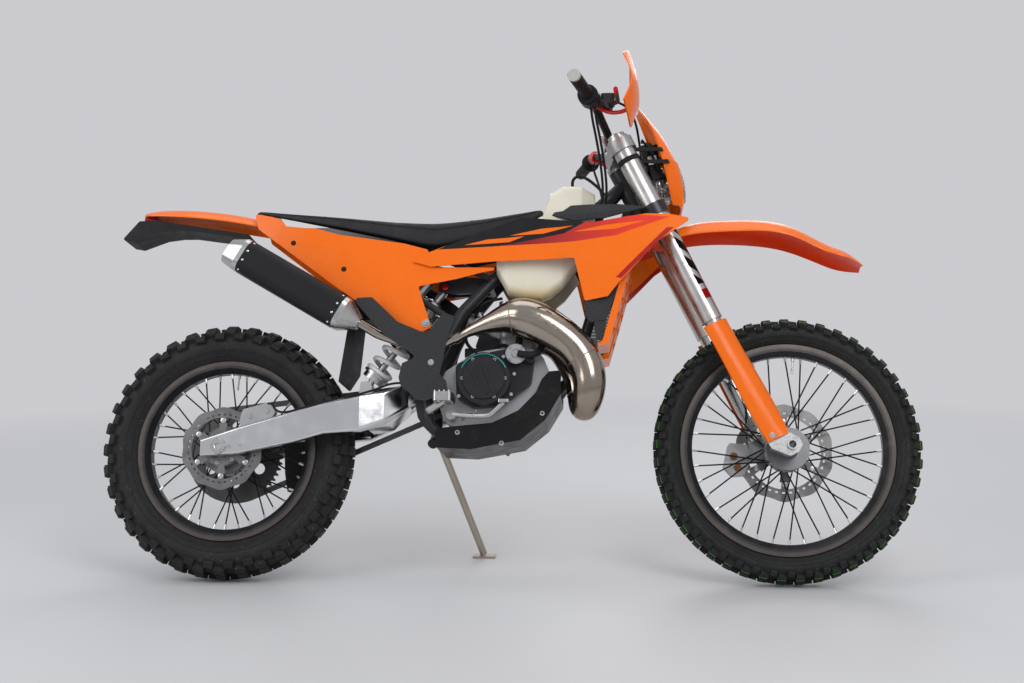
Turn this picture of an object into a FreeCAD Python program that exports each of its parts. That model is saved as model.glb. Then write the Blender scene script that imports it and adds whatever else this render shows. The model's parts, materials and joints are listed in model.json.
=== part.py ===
import FreeCAD
import Part
import math
import os

# Enduro dirt bike, full size, leaning on its side stand. Millimetres.
# The bike is modelled upright: X forward from the rear axle, Y to its left, Z up from the floor.
# It is then leaned over onto the stand, and its origin is the middle of its footprint on the floor.

# Stance
LEAN_DEG = 15.0

# Wheels and tyres
REAR_TYRE_RADIUS = 342.0
REAR_TYRE_WIDTH = 118.0
REAR_BEAD_RADIUS = 229.0
REAR_RIM_WIDTH = 62.0
FRONT_TYRE_RADIUS = 350.0
FRONT_TYRE_WIDTH = 90.0
FRONT_BEAD_RADIUS = 266.5
FRONT_RIM_WIDTH = 48.0
RIM_FLANGE = 12.0
RIM_WALL = 5.0
CROWN_HALF_WIDTH = 20.0
SPOKES = 36
SPOKE_RADIUS = 2.0
REAR_AXLE_RADIUS = 12.5
REAR_AXLE_BORE = 9.0
FRONT_AXLE_RADIUS = 13.0
FRONT_AXLE_BORE = 9.5
BEARING_GAP = 0.05
DISC_THICKNESS = 4.0
DISC_GAP = 1.8
FRONT_DISC_RADIUS = 130.0
FRONT_DISC_Y = 60.0
REAR_DISC_RADIUS = 110.0
REAR_DISC_Y = -72.0

# Swingarm and chain
SWINGARM_REACH = 532.0
PIVOT_X = 532.0
PIVOT_Z = 508.0
PIVOT_RADIUS = 12.0
ARM_OUTER_Y = 112.0
ARM_INNER_Y = 86.0
REAR_HUB_END = 80.0
FRONT_HUB_END = 64.0
PIVOT_PLATE_Y = 90.0
PIVOT_PLATE = 16.0
CHAIN_Y = 74.0
CHAIN_PITCH = 15.875
CHAIN_HEIGHT = 15.0
CHAIN_WIDTH = 14.0
FRONT_TEETH = 14
REAR_TEETH = 50
SPROCKET_THICKNESS = 6.0
COUNTERSHAFT_X = 605.0
COUNTERSHAFT_Z = 508.0

# Steering
RAKE_DEG = 26.1
HEAD_X = 1082.6
HEAD_Z = 1050.0
HEAD_TUBE_LENGTH = 150.0
HEAD_TUBE_RADIUS = 28.0
STEM_RADIUS = 14.0
FORK_OFFSET = 22.0
AXLE_LEAD = 33.2
AXLE_DROP = 806.5
FORK_SPREAD = 105.0
FOOT_HALF_WIDTH = 20.0
FORK_TUBE_RADIUS = 29.0
SLIDER_RADIUS = 24.0
FORK_TUBE_END = -428.0
LOWER_CLAMP_Z = -112.0
UPPER_CLAMP_Z = 88.0
CLAMP_HEIGHT = 32.0
BAR_RADIUS = 11.0
BAR_AHEAD = 7.2
BAR_ALONG = 152.4
BAR_HALF_WIDTH = 400.0

# Frame tubes
SPAR_RADIUS = 16.0
CRADLE_RADIUS = 14.0
SUBFRAME_RADIUS = 9.0

# Engine
GUARD_Y = 142.0
CASE_HALF_WIDTH = 84.0
CASE_TOP = 606.0
THROTTLE_START = 32.0
THROTTLE_END = 104.0
CLUTCH_X = 699.0
CLUTCH_Z = 517.0
CLUTCH_RADIUS = 68.0
CRANK_X = 792.0
CRANK_Z = 530.0
COVER_Y = 150.0

# Lamp
LAMP_HALF_WIDTH = 50.0
LAMP_LOW = 1032.0
LAMP_HIGH = 1116.0

# Panels
PANEL_THICKNESS = 3.5
FENDER_THICKNESS = 3.5

# Side stand
STAND_PIVOT = FreeCAD.Vector(548, 136, 400)
STAND_FOOT_X = 665.0
STAND_FOOT_Y = 318.0
STAND_FOLDED = (-0.97, 0.2, 0.1)
STAND_RADIUS = 10.0
STAND_EYE = 26.0

SEAT_GAP = 0.3

REAR_AXLE_X = PIVOT_X - SWINGARM_REACH
REAR_AXLE_Z = REAR_TYRE_RADIUS
CENTRE = FreeCAD.Vector(0, 0, 0)
X_AXIS = FreeCAD.Vector(1, 0, 0)
Y_AXIS = FreeCAD.Vector(0, 1, 0)
Z_AXIS = FreeCAD.Vector(0, 0, 1)
RAKE = math.radians(RAKE_DEG)
LEAN = math.radians(LEAN_DEG)
HEAD = FreeCAD.Vector(HEAD_X, 0, HEAD_Z)


# Helpers: points, rods, plates, sheets and lofts

def vec(x, y, z):
    """A point or direction."""
    return FreeCAD.Vector(x, y, z)


def rod(start, end, radius):
    """A round bar from one point to another."""
    axis = end - start
    return Part.makeCylinder(radius, axis.Length, start, axis)


def tube(start, end, outer, inner):
    """A round tube from one point to another."""
    return rod(start, end, outer).cut(rod(start, end, inner))


def disc(x, z, radius, y_from, y_to):
    """A round plate or boss across the bike."""
    return Part.makeCylinder(radius, y_to - y_from, vec(x, y_from, z), Y_AXIS)


def ring(x, z, outer, inner, y_from, y_to):
    """A washer, collar or drum across the bike."""
    return disc(x, z, outer, y_from, y_to).cut(disc(x, z, inner, y_from, y_to))


def fuse(shapes):
    """One solid from several that meet."""
    return shapes[0].multiFuse(shapes[1:]).removeSplitter()


def group(shapes):
    """Like pieces kept apart in one node."""
    return Part.makeCompound(shapes)


def mirrored(shape):
    """The same piece on the other side of the bike."""
    return shape.mirror(CENTRE, Y_AXIS)


def both_sides(shape):
    """A pair, left and right."""
    return group([shape, mirrored(shape)])


def corner_arcs(points, radius, closed):
    """For each corner: where its rounding starts, its middle and where it ends."""
    arcs = []
    count = len(points)
    corners = range(count) if closed else range(1, count - 1)
    for index in corners:
        corner = points[index]
        before = points[index - 1] - corner
        after = points[(index + 1) % count] - corner
        half = before.getAngle(after) / 2
        reach = min(radius / math.tan(half), 0.45 * before.Length, 0.45 * after.Length)
        bend = reach * math.tan(half)
        before.normalize()
        after.normalize()
        toward = (before + after).normalize()
        middle = corner + toward * (bend / math.sin(half) - bend)
        arcs.append((corner + before * reach, middle, corner + after * reach))
    return arcs


def closed_wire(points, radius):
    """A closed outline with rounded corners."""
    arcs = corner_arcs(points, radius, True)
    edges = []
    for index, (start, middle, end) in enumerate(arcs):
        edges.append(Part.Arc(start, middle, end).toShape())
        edges.append(Part.LineSegment(end, arcs[(index + 1) % len(arcs)][0]).toShape())
    return Part.Wire(edges)


def open_wire(points, radius):
    """A path of straight runs joined by arcs."""
    arcs = corner_arcs(points, radius, False)
    edges = []
    place = points[0]
    for start, middle, end in arcs:
        edges.append(Part.LineSegment(place, start).toShape())
        edges.append(Part.Arc(start, middle, end).toShape())
        place = end
    edges.append(Part.LineSegment(place, points[-1]).toShape())
    return Part.Wire(edges)


def bent_rod(points, radius, bend):
    """A round bar bent along a path."""
    path = open_wire(points, bend)
    circle = Part.Circle(points[0], points[1] - points[0], radius).toShape()
    return path.makePipeShell([Part.Wire([circle])], True, False)


def side_plate(outline, y_from, y_to, corner=4.0):
    """A plate whose outline is seen from the side, given as (x, z) points."""
    wire = closed_wire([vec(x, y_from, z) for x, z in outline], corner)
    return Part.Face(wire).extrude(vec(0, y_to - y_from, 0))


def top_plate(outline, z_from, z_to, corner=4.0):
    """A plate whose outline is seen from above, given as (x, y) points."""
    wire = closed_wire([vec(x, y, z_from) for x, y in outline], corner)
    return Part.Face(wire).extrude(vec(0, 0, z_to - z_from))


def loft(wires, ruled=False):
    """A solid through closed outlines."""
    return Part.makeLoft(wires, True, ruled)


def box_section(x, y, z, width, height, corner):
    """A rounded box section across the bike, centred at the given point."""
    half_w = width / 2
    half_h = height / 2
    points = [
        vec(x, y - half_w, z - half_h),
        vec(x, y + half_w, z - half_h),
        vec(x, y + half_w, z + half_h),
        vec(x, y - half_w, z + half_h),
    ]
    return closed_wire(points, corner)


def curve(points):
    """A smooth line through points."""
    spline = Part.BSplineCurve()
    spline.interpolate(points)
    return spline.toShape()


def sheet(lines, push):
    """A curved sheet through smooth lines of points, made thick along a direction."""
    wires = [Part.Wire([curve(line)]) for line in lines]
    return Part.makeLoft(wires, False, False).Faces[0].extrude(push)


def side_skin(stations, heights, thickness):
    """A curved side sheet: at each x, its y at each of the heights."""
    lines = [[vec(x, y, z) for y, z in zip(sides, heights)] for x, sides in stations]
    return sheet(lines, vec(0, thickness, 0))


def hoop(centre, axis, across, radius):
    """A circle about an axis that starts at a given side, for lofts with no twist."""
    wire = Part.Wire([Part.Circle(CENTRE, Z_AXIS, radius).toShape()])
    wire.Placement = FreeCAD.Placement(centre, FreeCAD.Rotation(across, axis.cross(across), axis, "ZXY"))
    return wire


def cross_section(centre, up, width, height, corner):
    """A rounded box section across the bike, square to a direction seen from the side."""
    half_w = Y_AXIS * (width / 2)
    half_h = up * (height / 2)
    points = [centre - half_w - half_h, centre + half_w - half_h,
              centre + half_w + half_h, centre - half_w + half_h]
    return closed_wire(points, corner)


def arch_section(crown, up, half_width, drop, thickness):
    """The closed section of a thin arched sheet with its crown at the given point."""
    upper = []
    for share in (-1.0, -0.85, -0.5, 0.0, 0.5, 0.85, 1.0):
        fall = drop * abs(share) ** 2.5
        upper.append(crown + Y_AXIS * (half_width * share) - up * fall)
    lower = [point - up * thickness for point in upper]
    return Part.Wire([
        curve(upper),
        Part.LineSegment(upper[-1], lower[-1]).toShape(),
        curve(lower[::-1]),
        Part.LineSegment(lower[0], upper[0]).toShape(),
    ])


def on_steering(shape):
    """Place a shape modelled with Z up the steering axis and X ahead of it."""
    shape.rotate(CENTRE, Y_AXIS, -RAKE_DEG)
    shape.translate(HEAD)
    return shape


def steering_point(ahead, side, along):
    """A point of the steering frame in the bike's own frame."""
    x = HEAD_X + ahead * math.cos(RAKE) - along * math.sin(RAKE)
    z = HEAD_Z + ahead * math.sin(RAKE) + along * math.cos(RAKE)
    return vec(x, side, z)


FRONT_AXLE = steering_point(FORK_OFFSET + AXLE_LEAD, 0, -AXLE_DROP)
REAR_AXLE = vec(REAR_AXLE_X, 0, REAR_AXLE_Z)


# Wheels, made about the Y axis and then carried to their axles

def lathe(points):
    """A solid turned about the Y axis from (y, radius) points."""
    wire = Part.makePolygon([vec(0, y, r) for y, r in points + points[:1]])
    return Part.Face(wire).revolve(CENTRE, Y_AXIS, 360)


def tyre(radius, width, bead, rim_width):
    """Tyre turned to its lugs' tips."""
    half = width / 2
    bead_half = rim_width / 2 - RIM_WALL - 0.5
    depth = radius - bead
    profile = [
        (-bead_half, bead + 0.5),
        (-bead_half, bead + RIM_FLANGE + 0.5),
        (-half * 0.8, bead + depth * 0.3),
        (-half + 3, bead + depth * 0.52),
        (-half, bead + depth * 0.7),
        (-half * 0.93, radius - 22),
        (-half * 0.66, radius - 8),
        (-CROWN_HALF_WIDTH, radius - 1),
        (CROWN_HALF_WIDTH, radius - 1),
        (half * 0.66, radius - 8),
        (half * 0.93, radius - 22),
        (half, bead + depth * 0.7),
        (half - 3, bead + depth * 0.52),
        (half * 0.8, bead + depth * 0.3),
        (bead_half, bead + RIM_FLANGE + 0.5),
        (bead_half, bead + 0.5),
    ]
    return lathe(profile)


def rim(bead, rim_width):
    """Drop-centre rim with two flanges."""
    half = rim_width / 2
    edge = bead + RIM_FLANGE
    well = bead - 14
    inner = well - RIM_WALL
    profile = [
        (-half, edge),
        (-half, bead - 6),
        (-half * 0.45, inner),
        (half * 0.45, inner),
        (half, bead - 6),
        (half, edge),
        (half - RIM_WALL, edge),
        (half - RIM_WALL, bead),
        (half * 0.4, well),
        (-half * 0.4, well),
        (-half + RIM_WALL, bead),
        (-half + RIM_WALL, edge),
    ]
    return lathe(profile)


def spoke_set(flange_radius, flange_y, rim_radius, rim_y):
    """Crossed spokes from both hub flanges to the rim."""
    spokes = []
    step = 360.0 / SPOKES
    for index in range(SPOKES):
        side = 1 if index % 2 else -1
        cross = 32.0 if index % 4 < 2 else -32.0
        rim_angle = math.radians(index * step)
        hub_angle = rim_angle + math.radians(cross)
        start = vec(flange_radius * math.sin(hub_angle), side * flange_y, flange_radius * math.cos(hub_angle))
        end = vec(rim_radius * math.sin(rim_angle), side * rim_y, rim_radius * math.cos(rim_angle))
        spokes.append(rod(start, end, SPOKE_RADIUS))
    return spokes


def hub(barrel, flange, flange_y, end_y, bore):
    """Hub barrel with a flange at each side, without its bore."""
    profile = [
        (-end_y, 0),
        (-end_y, bore + 11),
        (-flange_y - 4, bore + 14),
        (-flange_y - 4, flange),
        (-flange_y + 4, flange),
        (-flange_y * 0.5, barrel),
        (flange_y * 0.5, barrel),
        (flange_y - 4, flange),
        (flange_y + 4, flange),
        (flange_y + 4, bore + 14),
        (end_y, bore + 11),
        (end_y, 0),
    ]
    return lathe(profile)


def turned(start, axis, profile):
    """A solid turned about a line, from (distance along it, radius) points."""
    shape = lathe(profile)
    shape.rotate(CENTRE, Y_AXIS.cross(axis), math.degrees(Y_AXIS.getAngle(axis)))
    shape.translate(start)
    return shape


def bore_out(shape, radius, half_length):
    """The shape with a hole along the wheel's axis."""
    return shape.cut(Part.makeCylinder(radius, 2 * half_length, vec(0, -half_length, 0), Y_AXIS))


def wave_disc(radius, inner, y, waves):
    """Brake disc with a wavy rim and openings."""
    points = []
    for index in range(waves * 2):
        angle = math.pi * index / waves
        reach = radius if index % 2 == 0 else radius - 7
        points.append(vec(reach * math.sin(angle), y - DISC_THICKNESS / 2, reach * math.cos(angle)))
    outline = Part.BSplineCurve()
    outline.interpolate(points, PeriodicFlag=True)
    plate = Part.Face(Part.Wire([outline.toShape()])).extrude(vec(0, DISC_THICKNESS, 0))
    windows = []
    for index in range(waves // 2):
        angle = 4 * math.pi * (index + 0.5) / waves
        middle = (radius + inner) / 2 - 8
        spot = vec(middle * math.sin(angle), y - DISC_THICKNESS, middle * math.cos(angle))
        windows.append(Part.makeCylinder((radius - inner) * 0.16, 2 * DISC_THICKNESS, spot, Y_AXIS))
    centre = Part.makeCylinder(inner - 14, 2 * DISC_THICKNESS, vec(0, y - DISC_THICKNESS, 0), Y_AXIS)
    plate = plate.cut(Part.makeCompound(windows + [centre]))
    return plate


def wheel_parts(at, shapes):
    """Carry wheel pieces to their axle."""
    for shape in shapes:
        shape.translate(at)
    return shapes


def front_wheel():
    """Front tyre, rim, hub with spokes, and brake disc."""
    rim_inner = FRONT_BEAD_RADIUS - 14 - RIM_WALL
    spokes = spoke_set(50, 26, rim_inner - 2 * SEAT_GAP, 5)
    core = hub(22, 56, 30, FRONT_HUB_END, FRONT_AXLE_RADIUS)
    mount = lathe([(30, 15), (30, 52), (FRONT_DISC_Y - DISC_THICKNESS / 2, 52),
                   (FRONT_DISC_Y - DISC_THICKNESS / 2, 15)])
    body = bore_out(fuse([core, mount] + spokes), FRONT_AXLE_RADIUS + BEARING_GAP, 80)
    plate = wave_disc(FRONT_DISC_RADIUS, 92, FRONT_DISC_Y, 12)
    spider = disc_carrier(FRONT_DISC_Y, 24, 86, 6)
    return wheel_parts(FRONT_AXLE, [
        tyre(FRONT_TYRE_RADIUS, FRONT_TYRE_WIDTH, FRONT_BEAD_RADIUS, FRONT_RIM_WIDTH),
        rim(FRONT_BEAD_RADIUS, FRONT_RIM_WIDTH),
        body,
        fuse([plate, spider]),
    ])


def disc_carrier(y, inner, reach, arms):
    """Arms that carry a brake disc on the hub."""
    thick = DISC_THICKNESS
    base = Part.makeCylinder(52, thick, vec(0, y - thick / 2, 0), Y_AXIS)
    base = base.cut(Part.makeCylinder(inner + 6, thick, vec(0, y - thick / 2, 0), Y_AXIS))
    spokes = []
    for index in range(arms):
        arm = Part.makeBox(14, thick, reach - 40, vec(-7, y - thick / 2, 40))
        arm.rotate(CENTRE, Y_AXIS, 360.0 * index / arms)
        spokes.append(arm)
    return fuse([base] + spokes)


def sprocket(teeth, y, bore, window_radius):
    """Toothed sprocket cut from a plate, with round openings."""
    pitch_radius = CHAIN_PITCH / 2 / math.sin(math.pi / teeth)
    points = []
    for index in range(teeth):
        for share, reach in ((-0.12, 5.5), (0.12, 5.5), (0.36, -4.0), (0.64, -4.0)):
            angle = 2 * math.pi * (index + share) / teeth
            radius = pitch_radius + reach
            points.append(vec(radius * math.sin(angle), y - SPROCKET_THICKNESS / 2, radius * math.cos(angle)))
    plate = Part.Face(Part.makePolygon(points + points[:1])).extrude(vec(0, SPROCKET_THICKNESS, 0))
    cuts = [Part.makeCylinder(bore, 30, vec(0, y - 15, 0), Y_AXIS)]
    if window_radius:
        middle = (pitch_radius + bore) / 2
        for index in range(6):
            angle = math.radians(60 * index)
            spot = vec(middle * math.sin(angle), y - 15, middle * math.cos(angle))
            cuts.append(Part.makeCylinder(window_radius, 30, spot, Y_AXIS))
    return plate.cut(Part.makeCompound(cuts))


def rear_wheel():
    """Rear tyre, rim, hub with spokes, brake disc and sprocket."""
    rim_inner = REAR_BEAD_RADIUS - 14 - RIM_WALL
    spokes = spoke_set(58, 31, rim_inner - 2 * SEAT_GAP, 8)
    core = hub(26, 64, 35, REAR_HUB_END, REAR_AXLE_RADIUS)
    disc_seat = REAR_DISC_Y + DISC_THICKNESS / 2
    sprocket_seat = CHAIN_Y - SPROCKET_THICKNESS / 2
    disc_mount = lathe([(disc_seat, 15), (disc_seat, 48), (-35, 48), (-35, 15)])
    sprocket_mount = lathe([(35, 15), (35, 66), (sprocket_seat, 66), (sprocket_seat, 15)])
    body = fuse([core, disc_mount, sprocket_mount] + spokes)
    body = bore_out(body, REAR_AXLE_RADIUS + BEARING_GAP, 100)
    plate = wave_disc(REAR_DISC_RADIUS, 78, REAR_DISC_Y, 12)
    spider = disc_carrier(REAR_DISC_Y, 24, 76, 6)
    return wheel_parts(REAR_AXLE, [
        tyre(REAR_TYRE_RADIUS, REAR_TYRE_WIDTH, REAR_BEAD_RADIUS, REAR_RIM_WIDTH),
        rim(REAR_BEAD_RADIUS, REAR_RIM_WIDTH),
        body,
        fuse([plate, spider]),
        sprocket(REAR_TEETH, CHAIN_Y, 28, 15),
    ])


def rear_axle():
    """Hollow rear axle with its nuts and adjuster blocks."""
    end = ARM_OUTER_Y + 10
    parts = [
        rod(REAR_AXLE + vec(0, -end, 0), REAR_AXLE + vec(0, end, 0), REAR_AXLE_RADIUS),
        rod(REAR_AXLE + vec(0, -end, 0), REAR_AXLE + vec(0, -ARM_OUTER_Y, 0), 19),
        rod(REAR_AXLE + vec(0, end, 0), REAR_AXLE + vec(0, ARM_OUTER_Y, 0), 19),
        rod(REAR_AXLE + vec(0, REAR_HUB_END + 0.5, 0), REAR_AXLE + vec(0, ARM_INNER_Y - SEAT_GAP, 0), 18),
        rod(REAR_AXLE - vec(0, REAR_HUB_END + 0.5, 0), REAR_AXLE - vec(0, ARM_INNER_Y - SEAT_GAP, 0), 18),
    ]
    hole = rod(REAR_AXLE + vec(0, -end, 0), REAR_AXLE + vec(0, end, 0), REAR_AXLE_BORE)
    return fuse(parts).cut(hole)


def front_axle():
    """Hollow front axle, clamped in the fork feet."""
    reach = vec(0, FORK_SPREAD + FOOT_HALF_WIDTH + 8, 0)
    collar = vec(0, FORK_SPREAD + FOOT_HALF_WIDTH + SEAT_GAP, 0)
    parts = [
        rod(FRONT_AXLE - reach, FRONT_AXLE + reach, FRONT_AXLE_RADIUS),
        rod(FRONT_AXLE + collar, FRONT_AXLE + reach, 17),
    ]
    for side in (-1, 1):
        inner = vec(0, side * (FRONT_HUB_END + 0.5), 0)
        outer = vec(0, side * (FORK_SPREAD - FOOT_HALF_WIDTH - SEAT_GAP), 0)
        parts.append(rod(FRONT_AXLE + inner, FRONT_AXLE + outer, 18))
    return fuse(parts).cut(rod(FRONT_AXLE - reach, FRONT_AXLE + reach, FRONT_AXLE_BORE))


# Swingarm, suspension and chain

def swingarm():
    """Cast swingarm: two tapered arms, a cross beam and the pivot bosses."""
    outer = ARM_OUTER_Y
    width = outer - ARM_INNER_Y
    arm = loft([
        box_section(REAR_AXLE_X - 48, outer - width / 2, REAR_AXLE_Z - 3, width, 44, 6),
        box_section(REAR_AXLE_X + 50, outer - width / 2, REAR_AXLE_Z + 17, width, 72, 8),
        box_section(REAR_AXLE_X + 201, outer - width / 2, REAR_AXLE_Z + 55, width, 84, 8),
        box_section(REAR_AXLE_X + 274, outer - width / 2 - 1, REAR_AXLE_Z + 76, width + 2, 84, 10),
        box_section(PIVOT_X - 162, outer - 17, PIVOT_Z - 76, 34, 96, 10),
        box_section(PIVOT_X - 100, outer - 46, PIVOT_Z - 56, 52, 84, 10),
        box_section(PIVOT_X - 40, 44, PIVOT_Z - 20, 34, 66, 10),
        box_section(PIVOT_X + 18, 40, PIVOT_Z, 30, 44, 10),
    ], True)
    arm = arm.cut(rod(REAR_AXLE, REAR_AXLE + vec(0, 200, 0), REAR_AXLE_RADIUS + SEAT_GAP))
    boss = fuse([disc(PIVOT_X, PIVOT_Z, 25, 24, 58),
                 disc(PIVOT_X, PIVOT_Z, 16, 58, PIVOT_PLATE_Y - SEAT_GAP)])
    beam = loft([
        box_section(PIVOT_X - 148, 0, PIVOT_Z - 70, 150, 84, 10),
        box_section(PIVOT_X - 90, 0, PIVOT_Z - 60, 100, 84, 10),
        box_section(PIVOT_X - 40, 0, PIVOT_Z - 22, 90, 56, 10),
    ], True)
    mount = side_plate([(PIVOT_X - 178, PIVOT_Z - 30), (PIVOT_X - 140, PIVOT_Z - 34),
                        (PIVOT_X - 144, PIVOT_Z + 18), (PIVOT_X - 172, PIVOT_Z + 18)], -45, 5)
    eye = SHOCK_LOWER
    slot = disc(eye.x, eye.z, 26, -34, -6)
    parts = [arm, mirrored(arm), boss, mirrored(boss), beam, mount]
    body = fuse(parts).cut(slot)
    return body.cut(disc(PIVOT_X, PIVOT_Z, PIVOT_RADIUS + SEAT_GAP, -120, 120))


SHOCK_Y = -20.0
SHOCK_BODY_RADIUS = 26.0
SHOCK_LOWER = vec(374, SHOCK_Y, 514)
SHOCK_UPPER = vec(588, SHOCK_Y, 790)
SHOCK_AXIS = (SHOCK_UPPER - SHOCK_LOWER).normalize()


def shock_point(share):
    """A point along the shock absorber from its lower eye."""
    return SHOCK_LOWER + (SHOCK_UPPER - SHOCK_LOWER) * share


def shock_absorber():
    """Damper body, shaft, spring seats and reservoir."""
    length = (SHOCK_UPPER - SHOCK_LOWER).Length
    steps = ((0.0, 9), (0.06, 9), (0.06, 32), (0.12, 32), (0.12, 9), (0.45, 9), (0.45, SHOCK_BODY_RADIUS),
             (0.70, SHOCK_BODY_RADIUS), (0.70, 38), (0.75, 38), (0.75, SHOCK_BODY_RADIUS),
             (0.83, SHOCK_BODY_RADIUS), (0.85, 12), (1.0, 12))
    profile = [(0, 0)] + [(share * length, radius) for share, radius in steps] + [(length, 0)]
    behind = vec(-SHOCK_AXIS.z, 0, SHOCK_AXIS.x) * 52 + vec(0, -12, 0)
    parts = [
        turned(SHOCK_LOWER, SHOCK_AXIS, profile),
        disc(SHOCK_LOWER.x, SHOCK_LOWER.z, 15, SHOCK_Y - 12, SHOCK_Y + 12),
        disc(SHOCK_UPPER.x, SHOCK_UPPER.z, 17, SHOCK_Y - 12, SHOCK_Y + 12),
        rod(shock_point(0.715) + behind, shock_point(0.93) + behind, 21),
        rod(shock_point(0.80), shock_point(0.80) + behind, 12),
    ]
    return parts[0].multiFuse(parts[1:])


def shock_spring():
    """Coil spring around the damper."""
    seat = SHOCK_AXIS * SEAT_GAP
    return tube(shock_point(0.12) + seat, shock_point(0.70) - seat, 39, SHOCK_BODY_RADIUS + 2)


def chain_outline(offset):
    """The chain's path round both sprockets at a distance from its pitch line."""
    front_radius = CHAIN_PITCH / 2 / math.sin(math.pi / FRONT_TEETH) + offset
    rear_radius = CHAIN_PITCH / 2 / math.sin(math.pi / REAR_TEETH) + offset
    front = vec(COUNTERSHAFT_X, CHAIN_Y, COUNTERSHAFT_Z)
    rear = vec(REAR_AXLE_X, CHAIN_Y, REAR_AXLE_Z)
    along = front - rear
    slope = math.atan2(along.z, along.x)
    spread = math.acos((rear_radius - front_radius) / along.Length)
    points = {}
    for name, middle, radius in (("rear", rear, rear_radius), ("front", front, front_radius)):
        for side in (1, -1):
            angle = slope + side * spread
            points[name, side] = middle + vec(math.cos(angle), 0, math.sin(angle)) * radius
    back = rear - vec(math.cos(slope), 0, math.sin(slope)) * rear_radius
    nose = front + vec(math.cos(slope), 0, math.sin(slope)) * front_radius
    return Part.Wire([
        Part.LineSegment(points["rear", 1], points["front", 1]).toShape(),
        Part.Arc(points["front", 1], nose, points["front", -1]).toShape(),
        Part.LineSegment(points["front", -1], points["rear", -1]).toShape(),
        Part.Arc(points["rear", -1], back, points["rear", 1]).toShape(),
    ])


def chain_band(y_from, y_to, half_height):
    """A closed band that follows the chain's path."""
    outer = Part.Face(chain_outline(half_height))
    inner = Part.Face(chain_outline(-half_height))
    band = outer.cut(inner).extrude(vec(0, y_to - y_from, 0))
    band.translate(vec(0, y_from - CHAIN_Y, 0))
    return band


def drive_chain():
    """Two rows of side plates all round, with the sprockets' teeth between them."""
    gap = SPROCKET_THICKNESS / 2 + 1.5
    half = CHAIN_WIDTH / 2
    left = chain_band(CHAIN_Y + gap, CHAIN_Y + half, CHAIN_HEIGHT / 2)
    right = chain_band(CHAIN_Y - half, CHAIN_Y - gap, CHAIN_HEIGHT / 2)
    return group([left, right])


# Frame

def main_frame():
    """Steering head, spars, down tube, cradle and swingarm pivot plates."""
    plate_y = PIVOT_PLATE_Y + PIVOT_PLATE / 2
    head = rod(steering_point(0, 0, -HEAD_TUBE_LENGTH / 2), steering_point(0, 0, HEAD_TUBE_LENGTH / 2),
               HEAD_TUBE_RADIUS)
    spar = bent_rod([steering_point(-10, 14, 30), vec(960, 44, 968), vec(765, 48, 848), vec(715, 52, 802),
                     vec(632, 76, 705), vec(574, 92, 588), vec(556, plate_y, 540)], SPAR_RADIUS, 90)
    down = bent_rod([steering_point(0, 0, -20), vec(975, 0, 700), vec(930, 0, 545)], 19, 200)
    cradle = bent_rod([vec(934, 0, 556), vec(872, 50, 480), vec(838, 80, 426), vec(782, 84, 386),
                       vec(660, 88, 362), vec(600, 92, 365), vec(552, plate_y, 400),
                       vec(548, plate_y, 480)], CRADLE_RADIUS, 50)
    plate = side_plate([(516, 548), (508, 500), (524, 420), (545, 388), (564, 400), (566, 470), (562, 548)],
                       PIVOT_PLATE_Y, PIVOT_PLATE_Y + PIVOT_PLATE, 14)
    brace = rod(vec(978, 0, 760), vec(900, 40, 925), 12)
    cross = rod(vec(700, -56, 786), vec(700, 56, 786), 14)
    ears = [side_plate([(562, 772), (570, 812), (700, 806), (716, 786), (700, 768), (600, 764)], y, y + 14, 10)
            for y in (SHOCK_Y - 28, SHOCK_Y + 14)]
    low_cross = rod(vec(556, -plate_y, 398), vec(556, plate_y, 398), 13)
    mounts = [rod(vec(690, side * 84, 366), vec(690, side * 77, 389), 9) for side in (-1, 1)]
    hinge = stand_axis()
    stand_boss = rod(STAND_PIVOT - hinge * 44, STAND_PIVOT - hinge * (STAND_EYE / 2 + SEAT_GAP), 14)
    parts = [head, spar, mirrored(spar), down, cradle, mirrored(cradle), plate, mirrored(plate),
             brace, mirrored(brace), cross, low_cross, stand_boss] + ears + mounts
    body = fuse(parts)
    bore = rod(steering_point(0, 0, -120), steering_point(0, 0, 120), STEM_RADIUS + BEARING_GAP)
    pivot = disc(PIVOT_X, PIVOT_Z, PIVOT_RADIUS + SEAT_GAP, -120, 120)
    return body.cut(Part.makeCompound([bore, pivot]))


def pivot_bolt():
    """Bolt through the frame plates and the swingarm's bosses."""
    seat = PIVOT_PLATE_Y + PIVOT_PLATE + SEAT_GAP
    end = seat + 7
    return fuse([disc(PIVOT_X, PIVOT_Z, PIVOT_RADIUS, -end, end), disc(PIVOT_X, PIVOT_Z, 18, -end, -seat),
                 disc(PIVOT_X, PIVOT_Z, 18, seat, end)])


def subframe():
    """Rear subframe under the seat."""
    upper = bent_rod([vec(704, 79, 800), vec(560, 79, 862), vec(300, 76, 916), vec(100, 66, 948)],
                     SUBFRAME_RADIUS, 80)
    lower = bent_rod([vec(596, 90, 690), vec(470, 88, 772), vec(306, 77, 912)], SUBFRAME_RADIUS, 80)
    ties = [rod(vec(x, -y, z), vec(x, y, z), 6.5) for x, y, z in ((520, 79, 869), (346, 76, 906), (112, 66, 934))]
    return fuse([upper, mirrored(upper), lower, mirrored(lower)] + ties)


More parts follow.
